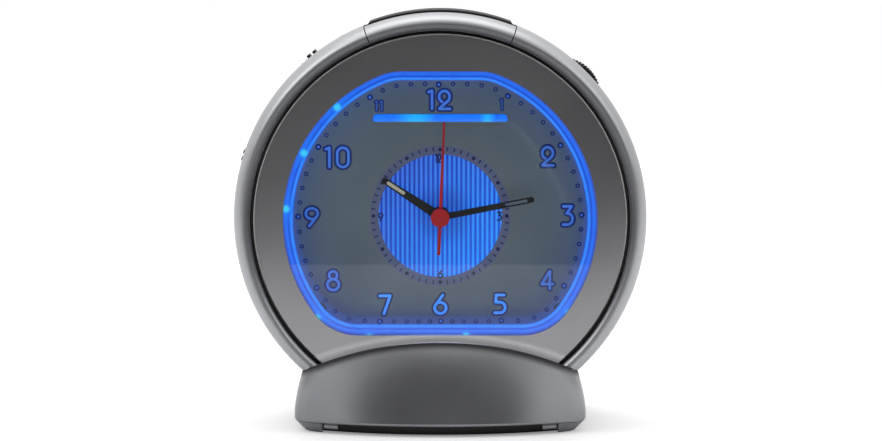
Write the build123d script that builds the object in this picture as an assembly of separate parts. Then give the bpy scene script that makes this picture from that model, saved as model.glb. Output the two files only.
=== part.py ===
from build123d import *
import math
import os

# A round bedside alarm clock on a pedestal, with a lit dial and a socket for a bed shaker.
# Millimetres. X runs to the viewer's right, Z up, and the dial looks along -Y.
# "Forward" is the distance in front of the pedestal's middle plane, so Y is minus forward.
# Radii and heights named without "ground" are taken from the hands' axis.

# Fits
run_fit = 0.05
seat_fit = 0.2
move_gap = 0.35
overrun = 5.0

# Case
case_radius = 67.6
ground_gap = 1.9
wall = 2.2
rim_width = 5.9
crest_inset = 2.1
lip_drop = 0.5
rim_crest = 29.5
widest_drop = 12.0
parting_back = 10.0
drum_taper = 0.9
parting_step = 0.25
rear_taper = 0.7
case_back = 28.0
shoulder_depth = 11.0
shoulder_width = 8.5
case_floor_rise = 4.1

axis_ground = case_radius + ground_gap
lip_radius = case_radius - rim_width
crest_radius = lip_radius + crest_inset
widest_forward = rim_crest - widest_drop
parting_radius = case_radius - drum_taper
rear_radius = parting_radius - parting_step
flat_back_radius = rear_radius - shoulder_width
case_floor = case_floor_rise - case_radius

# Bezel plate and its ledge
seam_gap = 1.0
bezel_drop = 2.3
bezel_thickness = 2.0
bezel_edge_bevel = 0.35
ledge_width = 3.2
ledge_thickness = 2.0
bezel_front = rim_crest - bezel_drop
bezel_back = bezel_front - bezel_thickness
bezel_radius = lip_radius - seam_gap
ledge_radius = lip_radius - ledge_width

# Window: a circle with a flat top and a flat bottom, and soft corners
bezel_width = 9.6
window_top_cut = 2.5
window_bottom_cut = 13.5
window_corner = 18.0
window_radius = bezel_radius - bezel_width
window_top = window_radius - window_top_cut
window_bottom = window_radius - window_bottom_cut

# Lens and light ring
lens_drop = 0.3
lens_flange = 1.6
lens_flange_thickness = 0.8
ring_width = 3.1
ring_bevel = 0.9
lens_front = bezel_front - lens_drop
lens_back = bezel_back - lens_flange_thickness
dial_depth = 14.7
dial_front = bezel_front - dial_depth
dial_thickness = 0.8
dial_back = dial_front - dial_thickness

# Lamp board behind the dial
frame_height = 1.9
frame_width = 3.6
board_thickness = 1.6
board_gap = 0.3
lamp_front = dial_back - frame_height
lamp_back = lamp_front - board_thickness
lamp_board_radius = ledge_radius - board_gap
ring_led_radius = 1.5
ring_led_inset = 1.1
ring_led_height = 4.6
ring_led_angles = (6, 28, 49, 131, 152, 174, 218, 322)
chip_led_size = 2.0
chip_led_height = 0.9
chip_led_circle = 12.0
chip_led_count = 6
bar_led_share = 0.33
post_radius = 1.9
post_gap = 0.3
post_angles = (30, 150, 210, 330)
screw_radius = 1.1
screw_head_radius = 2.0
screw_head_height = 1.4
screw_grip = 5.0

# Small round dial with upright ribs
subdial_radius = 20.2
subdial_flange = 1.2
subdial_flange_thickness = 0.7
rib_pitch = 1.55
rib_height = 0.45
rib_crest_share = 0.45
cup_wall = 1.6
bar_length = 44.1
bar_height = 2.15
bar_rise = 31.6
bar_flange = 1.0
bar_proud = 0.2

# Clock movement
movement_size = 56.0
movement_depth = 14.0
movement_corner = 6.0
movement_front_share = 0.55
bush_radius = 3.1
bush_proud = 0.5
nut_radius = 5.0
nut_height = 1.0
movement_back = lamp_back - movement_depth
movement_split = lamp_back - movement_depth * movement_front_share

# Arbors, one inside another
second_arbor_radius = 0.6
pipe_wall = 0.45
hour_pipe_wall = 0.6
minute_bore = second_arbor_radius + run_fit
minute_pipe_radius = minute_bore + pipe_wall
hour_bore = minute_pipe_radius + run_fit
hour_pipe_radius = hour_bore + hour_pipe_wall
alarm_bore = hour_pipe_radius + run_fit
alarm_pipe_radius = alarm_bore + pipe_wall
bush_bore = alarm_pipe_radius + run_fit
arbor_depth = 5.0

# Hands
hand_thickness = 0.45
hub_height = 0.9
hand_pitch = 1.4
hub_proud = 0.3
alarm_rise = 1.4
cap_radius = 3.1
cap_height = 1.2
hour_length = 22.8
hour_root = 3.2
hour_tip = 2.0
hour_angle = 303.3
hour_hub = 3.2
inlay_start = 13.9
inlay_end = 20.9
inlay_width = 1.1
inlay_depth = 0.2
minute_length = 31.4
minute_root = 2.1
minute_tip = 1.9
minute_angle = 79.0
minute_hub = 2.6
slot_start = 21.7
slot_end = 29.2
slot_width = 0.95
groove_start = 4.7
groove_end = 20.8
groove_width = 0.7
groove_depth = 0.12
second_length = 31.6
second_tail = 12.4
second_root = 1.1
second_tip = 0.7
second_angle = 2.4
alarm_length = 20.0
alarm_width = 1.2
alarm_hub = 3.2

# Snooze bar: the rim's top segment and a pad behind it, on two pins
snooze_angle = 21.7
snooze_play_angle = 0.3
snooze_plate_angle = 20.8
pad_angle = 20.5
pad_front_drop = 9.0
pad_width = 25.0
pad_proud = 0.3
pad_thickness = 1.9
pad_round = 0.7
snooze_plate_thickness = 2.0
snooze_rear_gap = 0.5
snooze_pin_radius = 0.9
snooze_pin_length = 1.6
snooze_pin_inset = 3.6
snooze_pin_height = 59.6
snooze_press_angle = 2.5
ledge_cover = 0.4

pad_front = rim_crest - pad_front_drop
pad_back = pad_front - pad_width
pad_radius = case_radius + pad_proud
plate_radius = pad_radius - pad_thickness
plate_bore = plate_radius - snooze_plate_thickness
snooze_pin_forward = rim_crest - snooze_pin_inset

# Switch under the snooze bar
tact_size = 10.0
tact_height = 5.0
tact_forward = 0.0
post_drop = 3.9
post_sunk = 1.0
snooze_post_radius = 2.0
snooze_board_width = 24.0
tact_top = plate_bore - post_drop
tact_bottom = tact_top - tact_height
snooze_drop = (snooze_pin_forward - tact_forward) * math.radians(snooze_press_angle)

# Thumb wheels for volume and tone
wheel_radius = 11.9
wheel_proud = 1.35
wheel_angle = 43.7
wheel_thickness = 4.5
wheel_teeth = 62
wheel_tooth_depth = 0.45
wheel_slot_gap = 0.5
wheel_bore = 1.55
pot_radius = 7.0
pot_height = 1.6
pot_gap = 0.3
control_board_width = 24.0
control_board_length = 22.0
control_board_forward = 0.0
wheel_centre = case_radius + wheel_proud - wheel_radius
spindle_head = 2.4
spindle_head_height = 0.8

# Slide switches
slide_angles = (128.7, 163.3)
slide_travel = 3.0
slide_neck_width = 3.4
slide_length = 8.0
slide_forward = 3.0
slide_rib_width = 1.1
slide_rib_height = 1.2
slide_proud = 0.8
slide_base_thickness = 1.0
slide_base_margin = 2.0
slide_body_width = 13.0
slide_body_length = 10.0
slide_body_height = 4.8
slide_stem = 1.6
slide_stem_length = 2.0
slide_board_margin = 4.0
slide_post_radius = 1.6
pip_radius = 0.35
pip_angles = (2.3, 3.9)

# Setting knobs on the back
knob_spread = 16.0
knob_drop = 4.0
knob_radius = 6.2
knob_height = 5.4
knob_gap = 0.4
knob_flutes = 22
flute_radius = 0.5
shaft_radius = 1.5
shaft_hole_gap = 0.6
shaft_sunk = 2.4

# Main board
main_board_half_width = 44.0
main_board_top = 40.0
main_board_bottom = 33.0
main_board_gap = 2.2
main_post_radius = 3.0
main_post_x = 39.5
main_post_high = 24.0
main_post_low = 6.0
main_front = movement_back - main_board_gap
main_back = main_front - board_thickness
relay_size = (15.0, 19.0, 10.4)
relay_place = (-29.5, 9.5)
capacitor_radius = 4.8
capacitor_height = 11.0
capacitor_places = ((26.0, 12.0), (28.0, 0.0))
chip_size = (11.0, 7.0, 2.0)
chip_rise = 5.0

# Loudspeaker
speaker_radius = 18.0
speaker_rise = 30.0
speaker_rim = 1.0
basket_depth = 7.5
basket_neck = 9.0
basket_wall = 0.8
magnet_depth = 4.5
cone_radius = 15.5
cone_neck = 4.5
cone_depth = 5.2
cone_wall = 0.6
cone_lift = 0.4
grille_radius = 15.0
grille_slot = 1.8
grille_pitch = 3.6

# Back-up battery, its bay and door
battery_length = 46.4
battery_height = 26.4
battery_depth = 17.4
battery_corner = 2.4
battery_terminal = 2.1
battery_terminal_radius = 3.2
battery_terminal_spread = 6.4
battery_drop = 33.0
bay_wall = 1.6
bay_gap = 0.5
clip_thickness = 1.6
door_thickness = 2.0
door_lip = 1.4
door_pin_radius = 0.6
door_pin_length = 1.2
door_grip_count = 4
door_grip_pitch = 1.4
door_grip_width = 14.0
door_grip_depth = 0.5

# Sockets on the back
jack_x = 36.0
jack_drop = 24.0
jack_body = 9.4
jack_collar = 4.0
power_bore = 3.1
power_depth = 10.0
power_pin = 1.0
shaker_bore = 1.8
shaker_depth = 14.0

# Case screws
case_screw_circle = 52.5
case_screw_angles = (20, 160, 232, 308)
well_radius = 3.2
well_wall = 1.3
well_floor = 1.6
case_boss_radius = 3.2
case_boss_depth = 5.0
case_boss_rib = 2.4
case_screw_radius = 1.4
case_screw_head = 2.7
case_screw_head_height = 1.8

# Pedestal
base_depth = 76.0
base_half_width = 47.8
base_lip_ground = 3.4
base_hump_ground = 30.2
base_hump_radius = 110.0
base_hump_back = 26.0
base_side_ground = 20.8
base_rear_ground = 14.5
base_corner = 7.0
base_lip_round = 0.8
base_hump_round = 1.2
base_case_gap = 0.3
base_level_ground = (base_lip_ground, 11.0, 20.0, 33.0)
base_inset_side = (0.0, 0.5, 2.7, 6.2)
base_inset_front = (0.0, 2.0, 3.8, 4.6)
base_inset_corner = (10.8, 8.6, 6.7, 6.2)
plinth_inset = 1.1
plinth_ground = 0.5
plinth_step = 1.2
plinth_step_border = 0.7
skirt_slope = 2.2
foot_width = 9.3
foot_length = 20.0
lug_width = 5.0
lug_depth = 12.0
lug_x = 35.8
lug_ground = 1.4
base_screw_x = 43.0
base_screw_y = 12.0
base_boss_radius = 3.0
base_boss_height = 6.0
base_screw_sunk = 1.6
case_pad_radius = 4.5
case_pad_x = 12.0
case_pad_forwards = (1.0, -18.0)
case_pad_screw_height = 5.0
case_floor_ground = axis_ground + case_floor

clock_axis = Axis((0, 0, axis_ground), (0, 1, 0))


def facing(forward, x=0, rise=0):
    """A plane square to the clock's axis, seen from the front, at a forward distance."""
    return Plane(
        origin=(x, -forward, axis_ground + rise), x_dir=(1, 0, 0), z_dir=(0, -1, 0)
    )


def spot(radius, angle):
    """X and rise of a point at a radius and an angle above the right-hand side."""
    return (
        radius * math.cos(math.radians(angle)),
        radius * math.sin(math.radians(angle)),
    )


def slab(outline, back, front):
    """An outline drawn from the front, thick from one forward distance to another."""
    return extrude(facing(back) * outline, front - back)


def rod(radius, back, front, x=0, rise=0):
    """A round bar along the clock's axis."""
    return slab(Pos(x, rise) * Circle(radius), back, front)


def tube(outer, inner, back, front, x=0, rise=0):
    """A round tube along the clock's axis."""
    return slab(Pos(x, rise) * (Circle(outer) - Circle(inner)), back, front)


def brick(width, height, back, front, x=0, rise=0):
    """A rectangular block seen square from the front."""
    return slab(Pos(x, rise) * Rectangle(width, height), back, front)


def turned(outline):
    """An outline in radius and forward distance, turned about the clock's axis."""
    half_plane = Plane(origin=(0, 0, axis_ground), x_dir=(1, 0, 0), z_dir=(0, 0, -1))
    return revolve(half_plane * outline, clock_axis, 360)


def sector(inner, outer, back, front, middle, half_angle):
    """A curved block between two radii and two radial planes."""
    low = middle - half_angle
    high = middle + half_angle
    outline = make_face(
        [
            Line(spot(inner, low), spot(outer, low)),
            ThreePointArc(spot(outer, low), spot(outer, middle), spot(outer, high)),
            Line(spot(outer, high), spot(inner, high)),
            ThreePointArc(spot(inner, high), spot(inner, middle), spot(inner, low)),
        ]
    )
    return slab(outline, back, front)


def outward(angle, radius, forward):
    """A plane that looks out of the case, with its x to the left and its y forward."""
    turn = math.radians(angle)
    x, rise = spot(radius, angle)
    return Plane(
        origin=(x, -forward, axis_ground + rise),
        x_dir=(-math.sin(turn), 0, math.cos(turn)),
        z_dir=(math.cos(turn), 0, math.sin(turn)),
    )


def upright(radius, low, high, x=0, y=0):
    """A round bar that stands upright between two heights."""
    return Pos(x, y, (low + high) / 2) * Cylinder(radius, high - low)


def above(ground):
    """Everything higher than a height above the ground, as one large block."""
    reach = 4 * case_radius
    return Pos(0, 0, ground + reach / 2) * Box(reach, reach, reach)


def window(grow):
    """The window's outline: a circle cut flat above and below, grown or shrunk by a border."""
    radius = window_radius + grow
    top = window_top + grow
    bottom = window_bottom + grow
    middle = (top - bottom) / 2
    flat = Pos(0, middle) * Rectangle(2 * radius, top + bottom)
    outline = Circle(radius) & flat
    return fillet(outline.vertices(), window_corner + grow)


def drum_front(grow=0):
    """The outer form of the front case, filled: drum, widest line and rolled rim."""
    lip_forward = bezel_front - lip_drop
    radius = case_radius + grow
    parting = parting_radius + grow
    crest = rim_crest + grow
    roll = crest - widest_forward
    drum_middle = (widest_forward - parting_back) / 2
    outline = make_face(
        [
            Line((0, -parting_back), (parting, -parting_back)),
            Bezier((parting, -parting_back), (radius, drum_middle), (radius, widest_forward)),
            Bezier(
                (radius, widest_forward),
                (radius, widest_forward + roll / 2),
                (radius - crest_inset / 2, crest),
                (crest_radius + grow, crest),
            ),
            Bezier(
                (crest_radius + grow, crest),
                (lip_radius - grow, crest),
                (lip_radius - grow, lip_forward),
            ),
            Line((lip_radius - grow, lip_forward), (0, lip_forward)),
            Line((0, lip_forward), (0, -parting_back)),
        ]
    )
    return turned(outline)


def drum_rear(shrink, back):
    """The rear case's outer form, or its hollow when shrunk by the wall."""
    radius = rear_radius - shrink
    flat = flat_back_radius - shrink
    shoulder = shoulder_depth - case_back
    outline = make_face(
        [
            Line((0, -parting_back), (radius, -parting_back)),
            Line((radius, -parting_back), (radius - rear_taper, shoulder)),
            Bezier(
                (radius - rear_taper, shoulder),
                (radius - rear_taper - (radius - flat) / 4, -back),
                (flat, -back),
            ),
            Line((flat, -back), (0, -back)),
            Line((0, -back), (0, -parting_back)),
        ]
    )
    return turned(outline)


def snooze_opening():
    """The notch that the snooze bar fills: the rim's top and the drum behind it."""
    rear = pad_back - snooze_rear_gap
    ledge_outer = lip_radius + ledge_cover
    top = rim_crest + overrun
    outer = case_radius + overrun
    notch = sector(ledge_outer, outer, rear, top, 90, snooze_angle)
    ledge_top = bezel_back + move_gap
    lip = sector(lip_radius - seam_gap / 2, outer, ledge_top, top, 90, snooze_angle)
    return notch + lip


def snooze_pin(radius, start, end):
    """A pin across the snooze bar's end, on each side."""
    length = end - start
    pins = []
    for side in (-1, 1):
        centre = side * (start + end) / 2
        place = Pos(centre, -snooze_pin_forward, axis_ground + snooze_pin_height)
        pins.append(place * Rot(0, 90, 0) * Cylinder(radius, length))
    return pins[0] + pins[1]


def slide_slot(angle):
    """The opening for a slide switch's neck, long enough for its travel."""
    width = slide_neck_width + slide_travel + 2 * move_gap
    length = slide_length + 2 * move_gap
    place = outward(angle, case_radius, slide_forward)
    return place * Pos(-slide_travel / 2, 0, 0) * Box(width, length, 4 * wall)


def slide_posts(angle):
    """Two posts from the drum's wall that carry a slide switch's board."""
    inner = slide_board_radius()
    outer = case_radius - wall / 2
    place = outward(angle, (inner + outer) / 2, slide_forward)
    reach = (slide_body_width + slide_board_margin) / 2
    posts = []
    for side in (-1, 1):
        shift = -slide_travel / 2 + side * reach
        posts.append(place * Pos(shift, 0, 0) * Cylinder(slide_post_radius, outer - inner))
    return posts


def slide_base_radius():
    """Outer face of a slide knob's base, just inside the drum's wall."""
    return parting_radius - wall - move_gap - drum_taper / 2


def slide_board_radius():
    """Outer face of a slide switch's board, under the switch."""
    base = slide_base_radius() - slide_base_thickness
    return base - move_gap - slide_body_height


def case_boss(angle):
    """A boss for a case screw, joined to the drum by a rib."""
    x, rise = spot(case_screw_circle, angle)
    front = case_boss_depth - parting_back
    boss = rod(case_boss_radius, -parting_back, front, x, rise)
    rib_length = case_radius - wall / 2 - case_screw_circle
    middle = case_screw_circle + rib_length / 2
    rib = slab(Rot(0, 0, angle) * Pos(middle, 0) * Rectangle(rib_length, case_boss_rib), -parting_back, front)
    return boss + rib


def make_front_case():
    """Front half of the case: rolled rim, drum, bezel ledge, bosses and control openings."""
    body = drum_front() & above(case_floor + axis_ground)
    ledge_back = bezel_back - ledge_thickness
    cavity_radius = parting_radius - wall
    hollow = rod(cavity_radius, -parting_back - overrun, ledge_back)
    hollow = hollow & above(case_floor + wall + axis_ground)
    body -= hollow
    body -= rod(lip_radius, bezel_back, rim_crest + overrun)
    body -= rod(ledge_radius, ledge_back - overrun, bezel_back + overrun)
    body -= snooze_opening()
    rim_end = case_radius * math.sin(math.radians(snooze_angle))
    pin_end = snooze_pin_end() + run_fit
    body -= snooze_pin(snooze_pin_radius + run_fit, rim_end / 2, pin_end)
    for angle in slide_angles:
        body -= slide_slot(angle)
        for post in slide_posts(angle):
            body += post
        for step in pip_angles:
            x, rise = spot(case_radius - drum_taper / 4, angle + step)
            body += Pos(x, -slide_forward, axis_ground + rise) * Sphere(pip_radius)
    x, rise = spot(wheel_centre, wheel_angle)
    for back, front in wheel_spans():
        body -= rod(wheel_radius + wheel_slot_gap, back - pot_gap, front + pot_gap, x, rise)
    for angle in case_screw_angles:
        body += case_boss(angle)
        bx, brise = spot(case_screw_circle, angle)
        body -= rod(case_screw_radius, -parting_back - overrun, -parting_back + screw_grip, bx, brise)
    return add_floor_bosses(body, case_pad_forwards[0])


def snooze_pin_end():
    """Outer end of the snooze bar's pins, across the clock."""
    edge = math.tan(math.radians(snooze_angle)) * snooze_pin_height
    return edge + snooze_pin_length


def wheel_spans():
    """Back and front of the tone wheel and of the volume wheel."""
    board_back = control_board_forward - board_thickness
    front_start = control_board_forward + pot_height + pot_gap
    back_end = board_back - pot_height - pot_gap
    return (
        (back_end - wheel_thickness, back_end),
        (front_start, front_start + wheel_thickness),
    )


def bay_size():
    """Length and height of the battery bay, inside."""
    length = battery_length + battery_terminal + clip_thickness + 2 * bay_gap
    return length, battery_height + 2 * bay_gap


def make_rear_case():
    """Rear half of the case: shoulder, grille, battery bay, sockets, posts and screw wells."""
    body = drum_rear(0, case_back) & above(case_floor + axis_ground)
    hollow = drum_rear(wall, case_back - wall) & above(case_floor + wall + axis_ground)
    body -= hollow
    inner_back = wall - case_back
    bay_length, bay_height = bay_size()
    bay_front = bay_floor()
    shell = brick(
        bay_length + 2 * bay_wall,
        bay_height + 2 * bay_wall,
        inner_back,
        bay_front + bay_wall,
        0,
        -battery_drop,
    )
    body += shell
    body -= brick(bay_length, bay_height, -case_back - overrun, bay_front, 0, -battery_drop)
    body -= door_room(door_thickness - case_back)
    body -= door_hinge_bar(door_pin_radius + run_fit, (bay_length / 2 + door_lip) + door_pin_length)
    for x in (-main_post_x, main_post_x):
        for rise in (-main_post_low, main_post_high):
            body += rod(main_post_radius, inner_back, main_back, x, rise)
            body -= rod(screw_radius, main_back - screw_grip, main_back + overrun, x, rise)
    for angle in case_screw_angles:
        x, rise = spot(case_screw_circle, angle)
        body += rod(well_radius + well_wall, inner_back, -parting_back, x, rise)
        body -= rod(well_radius, -case_back - overrun, -parting_back - well_floor, x, rise)
        body -= rod(case_screw_radius + seat_fit, -case_back, overrun - parting_back, x, rise)
    for slot in grille_slots():
        body -= slot
    for x in (-knob_spread, knob_spread):
        hole = shaft_radius + shaft_hole_gap
        body -= rod(hole, -case_back - overrun, inner_back + overrun, x, -knob_drop)
    for x in (-jack_x, jack_x):
        hole = jack_collar + seat_fit
        body -= rod(hole, -case_back - overrun, inner_back + overrun, x, -jack_drop)
    return add_floor_bosses(body, case_pad_forwards[1])


def grille_slots():
    """Level slots over the loudspeaker, each as long as the grille's circle allows."""
    count = int((grille_radius - grille_slot / 2) / grille_pitch)
    slots = []
    for step in range(-count, count + 1):
        rise = step * grille_pitch
        half = math.sqrt(grille_radius**2 - (abs(rise) + grille_slot / 2) ** 2)
        outline = Pos(0, speaker_rise + rise) * SlotOverall(2 * half, grille_slot)
        slots.append(slab(outline, -case_back - overrun, -case_back + 2 * wall))
    return slots


def bay_floor():
    """Forward distance of the battery bay's floor."""
    return door_thickness + battery_depth + bay_gap - case_back


def door_room(front):
    """The recess in the rear wall that the battery door fills."""
    length, height = bay_size()
    width = length + 2 * door_lip
    low = door_hinge_rise() - door_thickness / 2 - move_gap
    top = height / 2 + door_lip - battery_drop
    return brick(width, top - low, -case_back - overrun, front, 0, (top + low) / 2)


def door_hinge_rise():
    """Rise of the battery door's hinge axis."""
    length, height = bay_size()
    return door_thickness / 2 - battery_drop - height / 2 - door_lip


def door_hinge_bar(radius, half_length):
    """A level bar on the door's hinge axis."""
    middle = door_thickness / 2 - case_back
    place = Pos(0, -middle, axis_ground + door_hinge_rise())
    return place * Rot(0, 90, 0) * Cylinder(radius, 2 * half_length)


def make_battery_door():
    """Flat door with a rounded lower edge, two hinge pins and a finger grip."""
    length, height = bay_size()
    back = -case_back
    front = door_thickness - case_back
    width = length + 2 * door_lip - move_gap
    top = height / 2 + door_lip - battery_drop - move_gap / 2
    low = door_hinge_rise()
    body = brick(width, top - low, back, front, 0, (top + low) / 2)
    body += door_hinge_bar(door_thickness / 2 - run_fit, width / 2)
    body += door_hinge_bar(door_pin_radius, width / 2 + door_pin_length)
    for step in range(door_grip_count):
        rise = top - (step + 1) * door_grip_pitch
        body -= brick(door_grip_width, door_grip_pitch / 2, back - overrun, back + door_grip_depth, 0, rise)
    return body


def make_bezel():
    """Dark plate round the window, with posts behind it for the lamp board."""
    plate = slab(Circle(bezel_radius) - window(0), bezel_back, bezel_front)
    front_edges = plate.edges().filter_by(GeomType.CIRCLE).filter_by(
        lambda edge: abs(edge.radius - bezel_radius) < run_fit
    )
    front_edge = front_edges.sort_by(Axis.Y)[0]
    plate = chamfer(front_edge, bezel_edge_bevel)
    for angle in post_angles:
        x, rise = post_spot(angle)
        plate += rod(post_radius, lamp_front, bezel_back, x, rise)
        plate -= rod(screw_radius, lamp_front - overrun, lamp_front + screw_grip, x, rise)
    return plate


def post_spot(angle):
    """Centre of a bezel post, in the gap between light ring and ledge."""
    ring_outer = window_radius + lens_flange
    return spot(ring_outer + post_gap + post_radius, angle)


def make_lens():
    """Clear window: a face that fills the bezel and a flange behind it."""
    flange = slab(window(lens_flange), lens_back, bezel_back)
    face = slab(window(-seat_fit), bezel_back, lens_front)
    return flange + face


def ring_led_spots():
    """Centres of the lamps that feed the light ring."""
    radius = window_radius - ring_led_inset
    return [spot(radius, angle) for angle in ring_led_angles]


def make_light_ring():
    """Clear light guide round the dial, bevelled inside, with a pocket for each lamp."""
    outline = window(lens_flange) - window(-ring_width)
    body = slab(outline, dial_front, lens_back)
    rebate = loft(
        [
            facing(lens_back - ring_bevel) * window(-ring_width),
            facing(lens_back) * window(ring_bevel - ring_width),
        ]
    )
    body -= rebate
    pocket = ring_led_height + lamp_front + seat_fit
    for x, rise in ring_led_spots():
        body -= rod(ring_led_radius + seat_fit, dial_front - overrun, pocket, x, rise)
    return body


def make_dial():
    """Dial plate with a round opening, a slot for the light bar and lamp holes."""
    outline = window(lens_flange) - Circle(subdial_radius + seat_fit)
    outline -= Pos(0, bar_rise) * SlotOverall(bar_length + seat_fit, bar_height + seat_fit)
    for x, rise in ring_led_spots():
        outline -= Pos(x, rise) * Circle(ring_led_radius + seat_fit)
    return slab(outline, dial_back, dial_front)


def make_dial_frame():
    """Frame between the dial and the lamp board."""
    outline = window(lens_flange) - window(lens_flange - 2 * frame_width)
    for x, rise in ring_led_spots():
        outline -= Pos(x, rise) * Circle(ring_led_radius + seat_fit)
    return slab(outline, lamp_front, dial_back)


def make_subdial():
    """Ribbed round lens in the middle of the dial, with a flange behind the plate."""
    flange_radius = subdial_radius + subdial_flange
    body = rod(flange_radius, dial_back - subdial_flange_thickness, dial_back)
    body += rod(subdial_radius, dial_back, dial_front)
    count = int(subdial_radius / rib_pitch)
    crest = rib_pitch * rib_crest_share / 2
    root = rib_pitch / 2
    rib = make_face(
        Polyline((-root, 0), (-crest, rib_height), (crest, rib_height), (root, 0), close=True)
    )
    for step in range(-count, count):
        x = (step + 1 / 2) * rib_pitch
        half = math.sqrt(subdial_radius**2 - (abs(x) + root) ** 2)
        place = Plane(
            origin=(x, -dial_front, axis_ground - half), x_dir=(1, 0, 0), z_dir=(0, 0, 1)
        )
        body += extrude(place * mirror(rib, Plane.XZ), 2 * half)
    hole = bush_radius + seat_fit
    return body - rod(hole, lamp_front, dial_front + 2 * rib_height)


def make_light_bar():
    """Long narrow light guide above the hands."""
    back = dial_back - subdial_flange_thickness
    flange = slab(
        Pos(0, bar_rise) * SlotOverall(bar_length + 2 * bar_flange, bar_height + 2 * bar_flange),
        back,
        dial_back,
    )
    face = slab(Pos(0, bar_rise) * SlotOverall(bar_length, bar_height), dial_back, dial_front + bar_proud)
    return flange + face


def make_cup():
    """Reflector ring between the lamp board and the ribbed lens."""
    outer = subdial_radius + subdial_flange
    return tube(outer, outer - cup_wall, lamp_front, dial_back - subdial_flange_thickness)


def make_lamp_board():
    """Round board that carries the lamps."""
    body = rod(lamp_board_radius, lamp_back, lamp_front)
    body -= rod(bush_radius + seat_fit, lamp_back - overrun, lamp_front + overrun)
    for angle in post_angles:
        x, rise = post_spot(angle)
        body -= rod(screw_radius + seat_fit, lamp_back - overrun, lamp_front + overrun, x, rise)
    return body


def make_ring_leds():
    """Round-topped lamps that stand in the light ring's pockets."""
    lamps = []
    for x, rise in ring_led_spots():
        top = lamp_front + ring_led_height - ring_led_radius
        body = rod(ring_led_radius, lamp_front, top, x, rise)
        body += Pos(x, -top, axis_ground + rise) * Sphere(ring_led_radius)
        lamps.append(body)
    return Compound(children=lamps)


def make_chip_leds():
    """Flat lamps behind the ribbed lens and behind the light bar."""
    places = [spot(chip_led_circle, 360 * step / chip_led_count) for step in range(chip_led_count)]
    places += [(side * bar_length * bar_led_share, bar_rise) for side in (-1, 0, 1)]
    front = lamp_front + chip_led_height
    chips = [brick(chip_led_size, chip_led_size, lamp_front, front, x, rise) for x, rise in places]
    return Compound(children=chips)


def screws(places, seat, point, radius, head, head_height):
    """Round-headed screws along the clock's axis, heads outside the seat."""
    direction = 1 if point > seat else -1
    group = []
    for x, rise in places:
        shank = rod(radius, min(seat, point), max(seat, point), x, rise)
        cap = seat - direction * head_height
        group.append(shank + rod(head, min(seat, cap), max(seat, cap), x, rise))
    return Compound(children=group)


def movement_outline():
    """Rounded square of the clock movement."""
    return RectangleRounded(movement_size, movement_size, movement_corner)


def make_movement_case():
    """Front half of the sealed movement, with the fixed bush for the hands."""
    body = slab(movement_outline(), movement_split, lamp_back)
    body += rod(bush_radius, lamp_back, dial_front + bush_proud)
    return body - rod(bush_bore, movement_split - overrun, dial_front + overrun)


def make_movement_cover():
    """Rear half of the sealed movement, with sockets for the setting shafts."""
    body = slab(movement_outline(), movement_back, movement_split)
    for x in (-knob_spread, knob_spread):
        body -= rod(shaft_radius + run_fit, movement_back - overrun, movement_back + shaft_sunk, x, -knob_drop)
    return body


def pipe(outer, inner, top):
    """A hand's pipe, from inside the movement to its hub."""
    start = lamp_back - arbor_depth
    if inner:
        return tube(outer, inner, start, top)
    return rod(outer, start, top)


def hand_levels():
    """Back of each hand's blade, from the dial outwards."""
    first = dial_front + alarm_rise
    return {
        name: first + step * hand_pitch
        for step, name in enumerate(("alarm", "hour", "minute", "second"))
    }


def blade(length, root, tip, start=0):
    """A tapered hand with a round end, pointing up."""
    straight = length - tip / 2
    outline = make_face(
        Polyline((-root / 2, start), (root / 2, start), (tip / 2, straight), (-tip / 2, straight), close=True)
    )
    return outline + Pos(0, straight) * Circle(tip / 2)


def turned_to(shape, angle):
    """A hand's outline turned clockwise from twelve."""
    return Rot(0, 0, -angle) * shape


def make_alarm_hand():
    """Plain narrow hand, lowest of the four."""
    back = hand_levels()["alarm"]
    outline = turned_to(blade(alarm_length, alarm_width, alarm_width), hour_angle) + Circle(alarm_hub)
    return slab(outline - Circle(alarm_pipe_radius), back, back + hand_thickness)


def make_hour_hand():
    """Black tapered hand with a bed for its pale inlay."""
    back = hand_levels()["hour"]
    front = back + hand_thickness
    body = slab(turned_to(blade(hour_length, hour_root, hour_tip), hour_angle), back, front)
    body += rod(hour_hub, back, back + hub_height)
    body -= slab(turned_to(inlay_outline(), hour_angle), front - inlay_depth, front + overrun)
    return body - rod(hour_pipe_radius, back - overrun, front + overrun)


def inlay_outline():
    """Long bed near the hour hand's end."""
    middle = (inlay_start + inlay_end) / 2
    return Pos(0, middle) * Rot(0, 0, 90) * SlotOverall(inlay_end - inlay_start, inlay_width)


def make_hour_inlay():
    """Pale strip laid into the hour hand."""
    front = hand_levels()["hour"] + hand_thickness
    return slab(turned_to(inlay_outline(), hour_angle), front - inlay_depth, front)


def make_minute_hand():
    """Black hand with a shallow groove and an open slot near its end."""
    back = hand_levels()["minute"]
    front = back + hand_thickness
    outline = blade(minute_length, minute_root, minute_tip)
    slot_middle = (slot_start + slot_end) / 2
    outline -= Pos(0, slot_middle) * Rot(0, 0, 90) * SlotOverall(slot_end - slot_start, slot_width)
    body = slab(turned_to(outline, minute_angle), back, front)
    groove_middle = (groove_start + groove_end) / 2
    groove = Pos(0, groove_middle) * Rectangle(groove_width, groove_end - groove_start)
    body -= slab(turned_to(groove, minute_angle), front - groove_depth, front + overrun)
    body += rod(minute_hub, back, back + hub_height)
    return body - rod(minute_pipe_radius, back - overrun, front + overrun)


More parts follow.
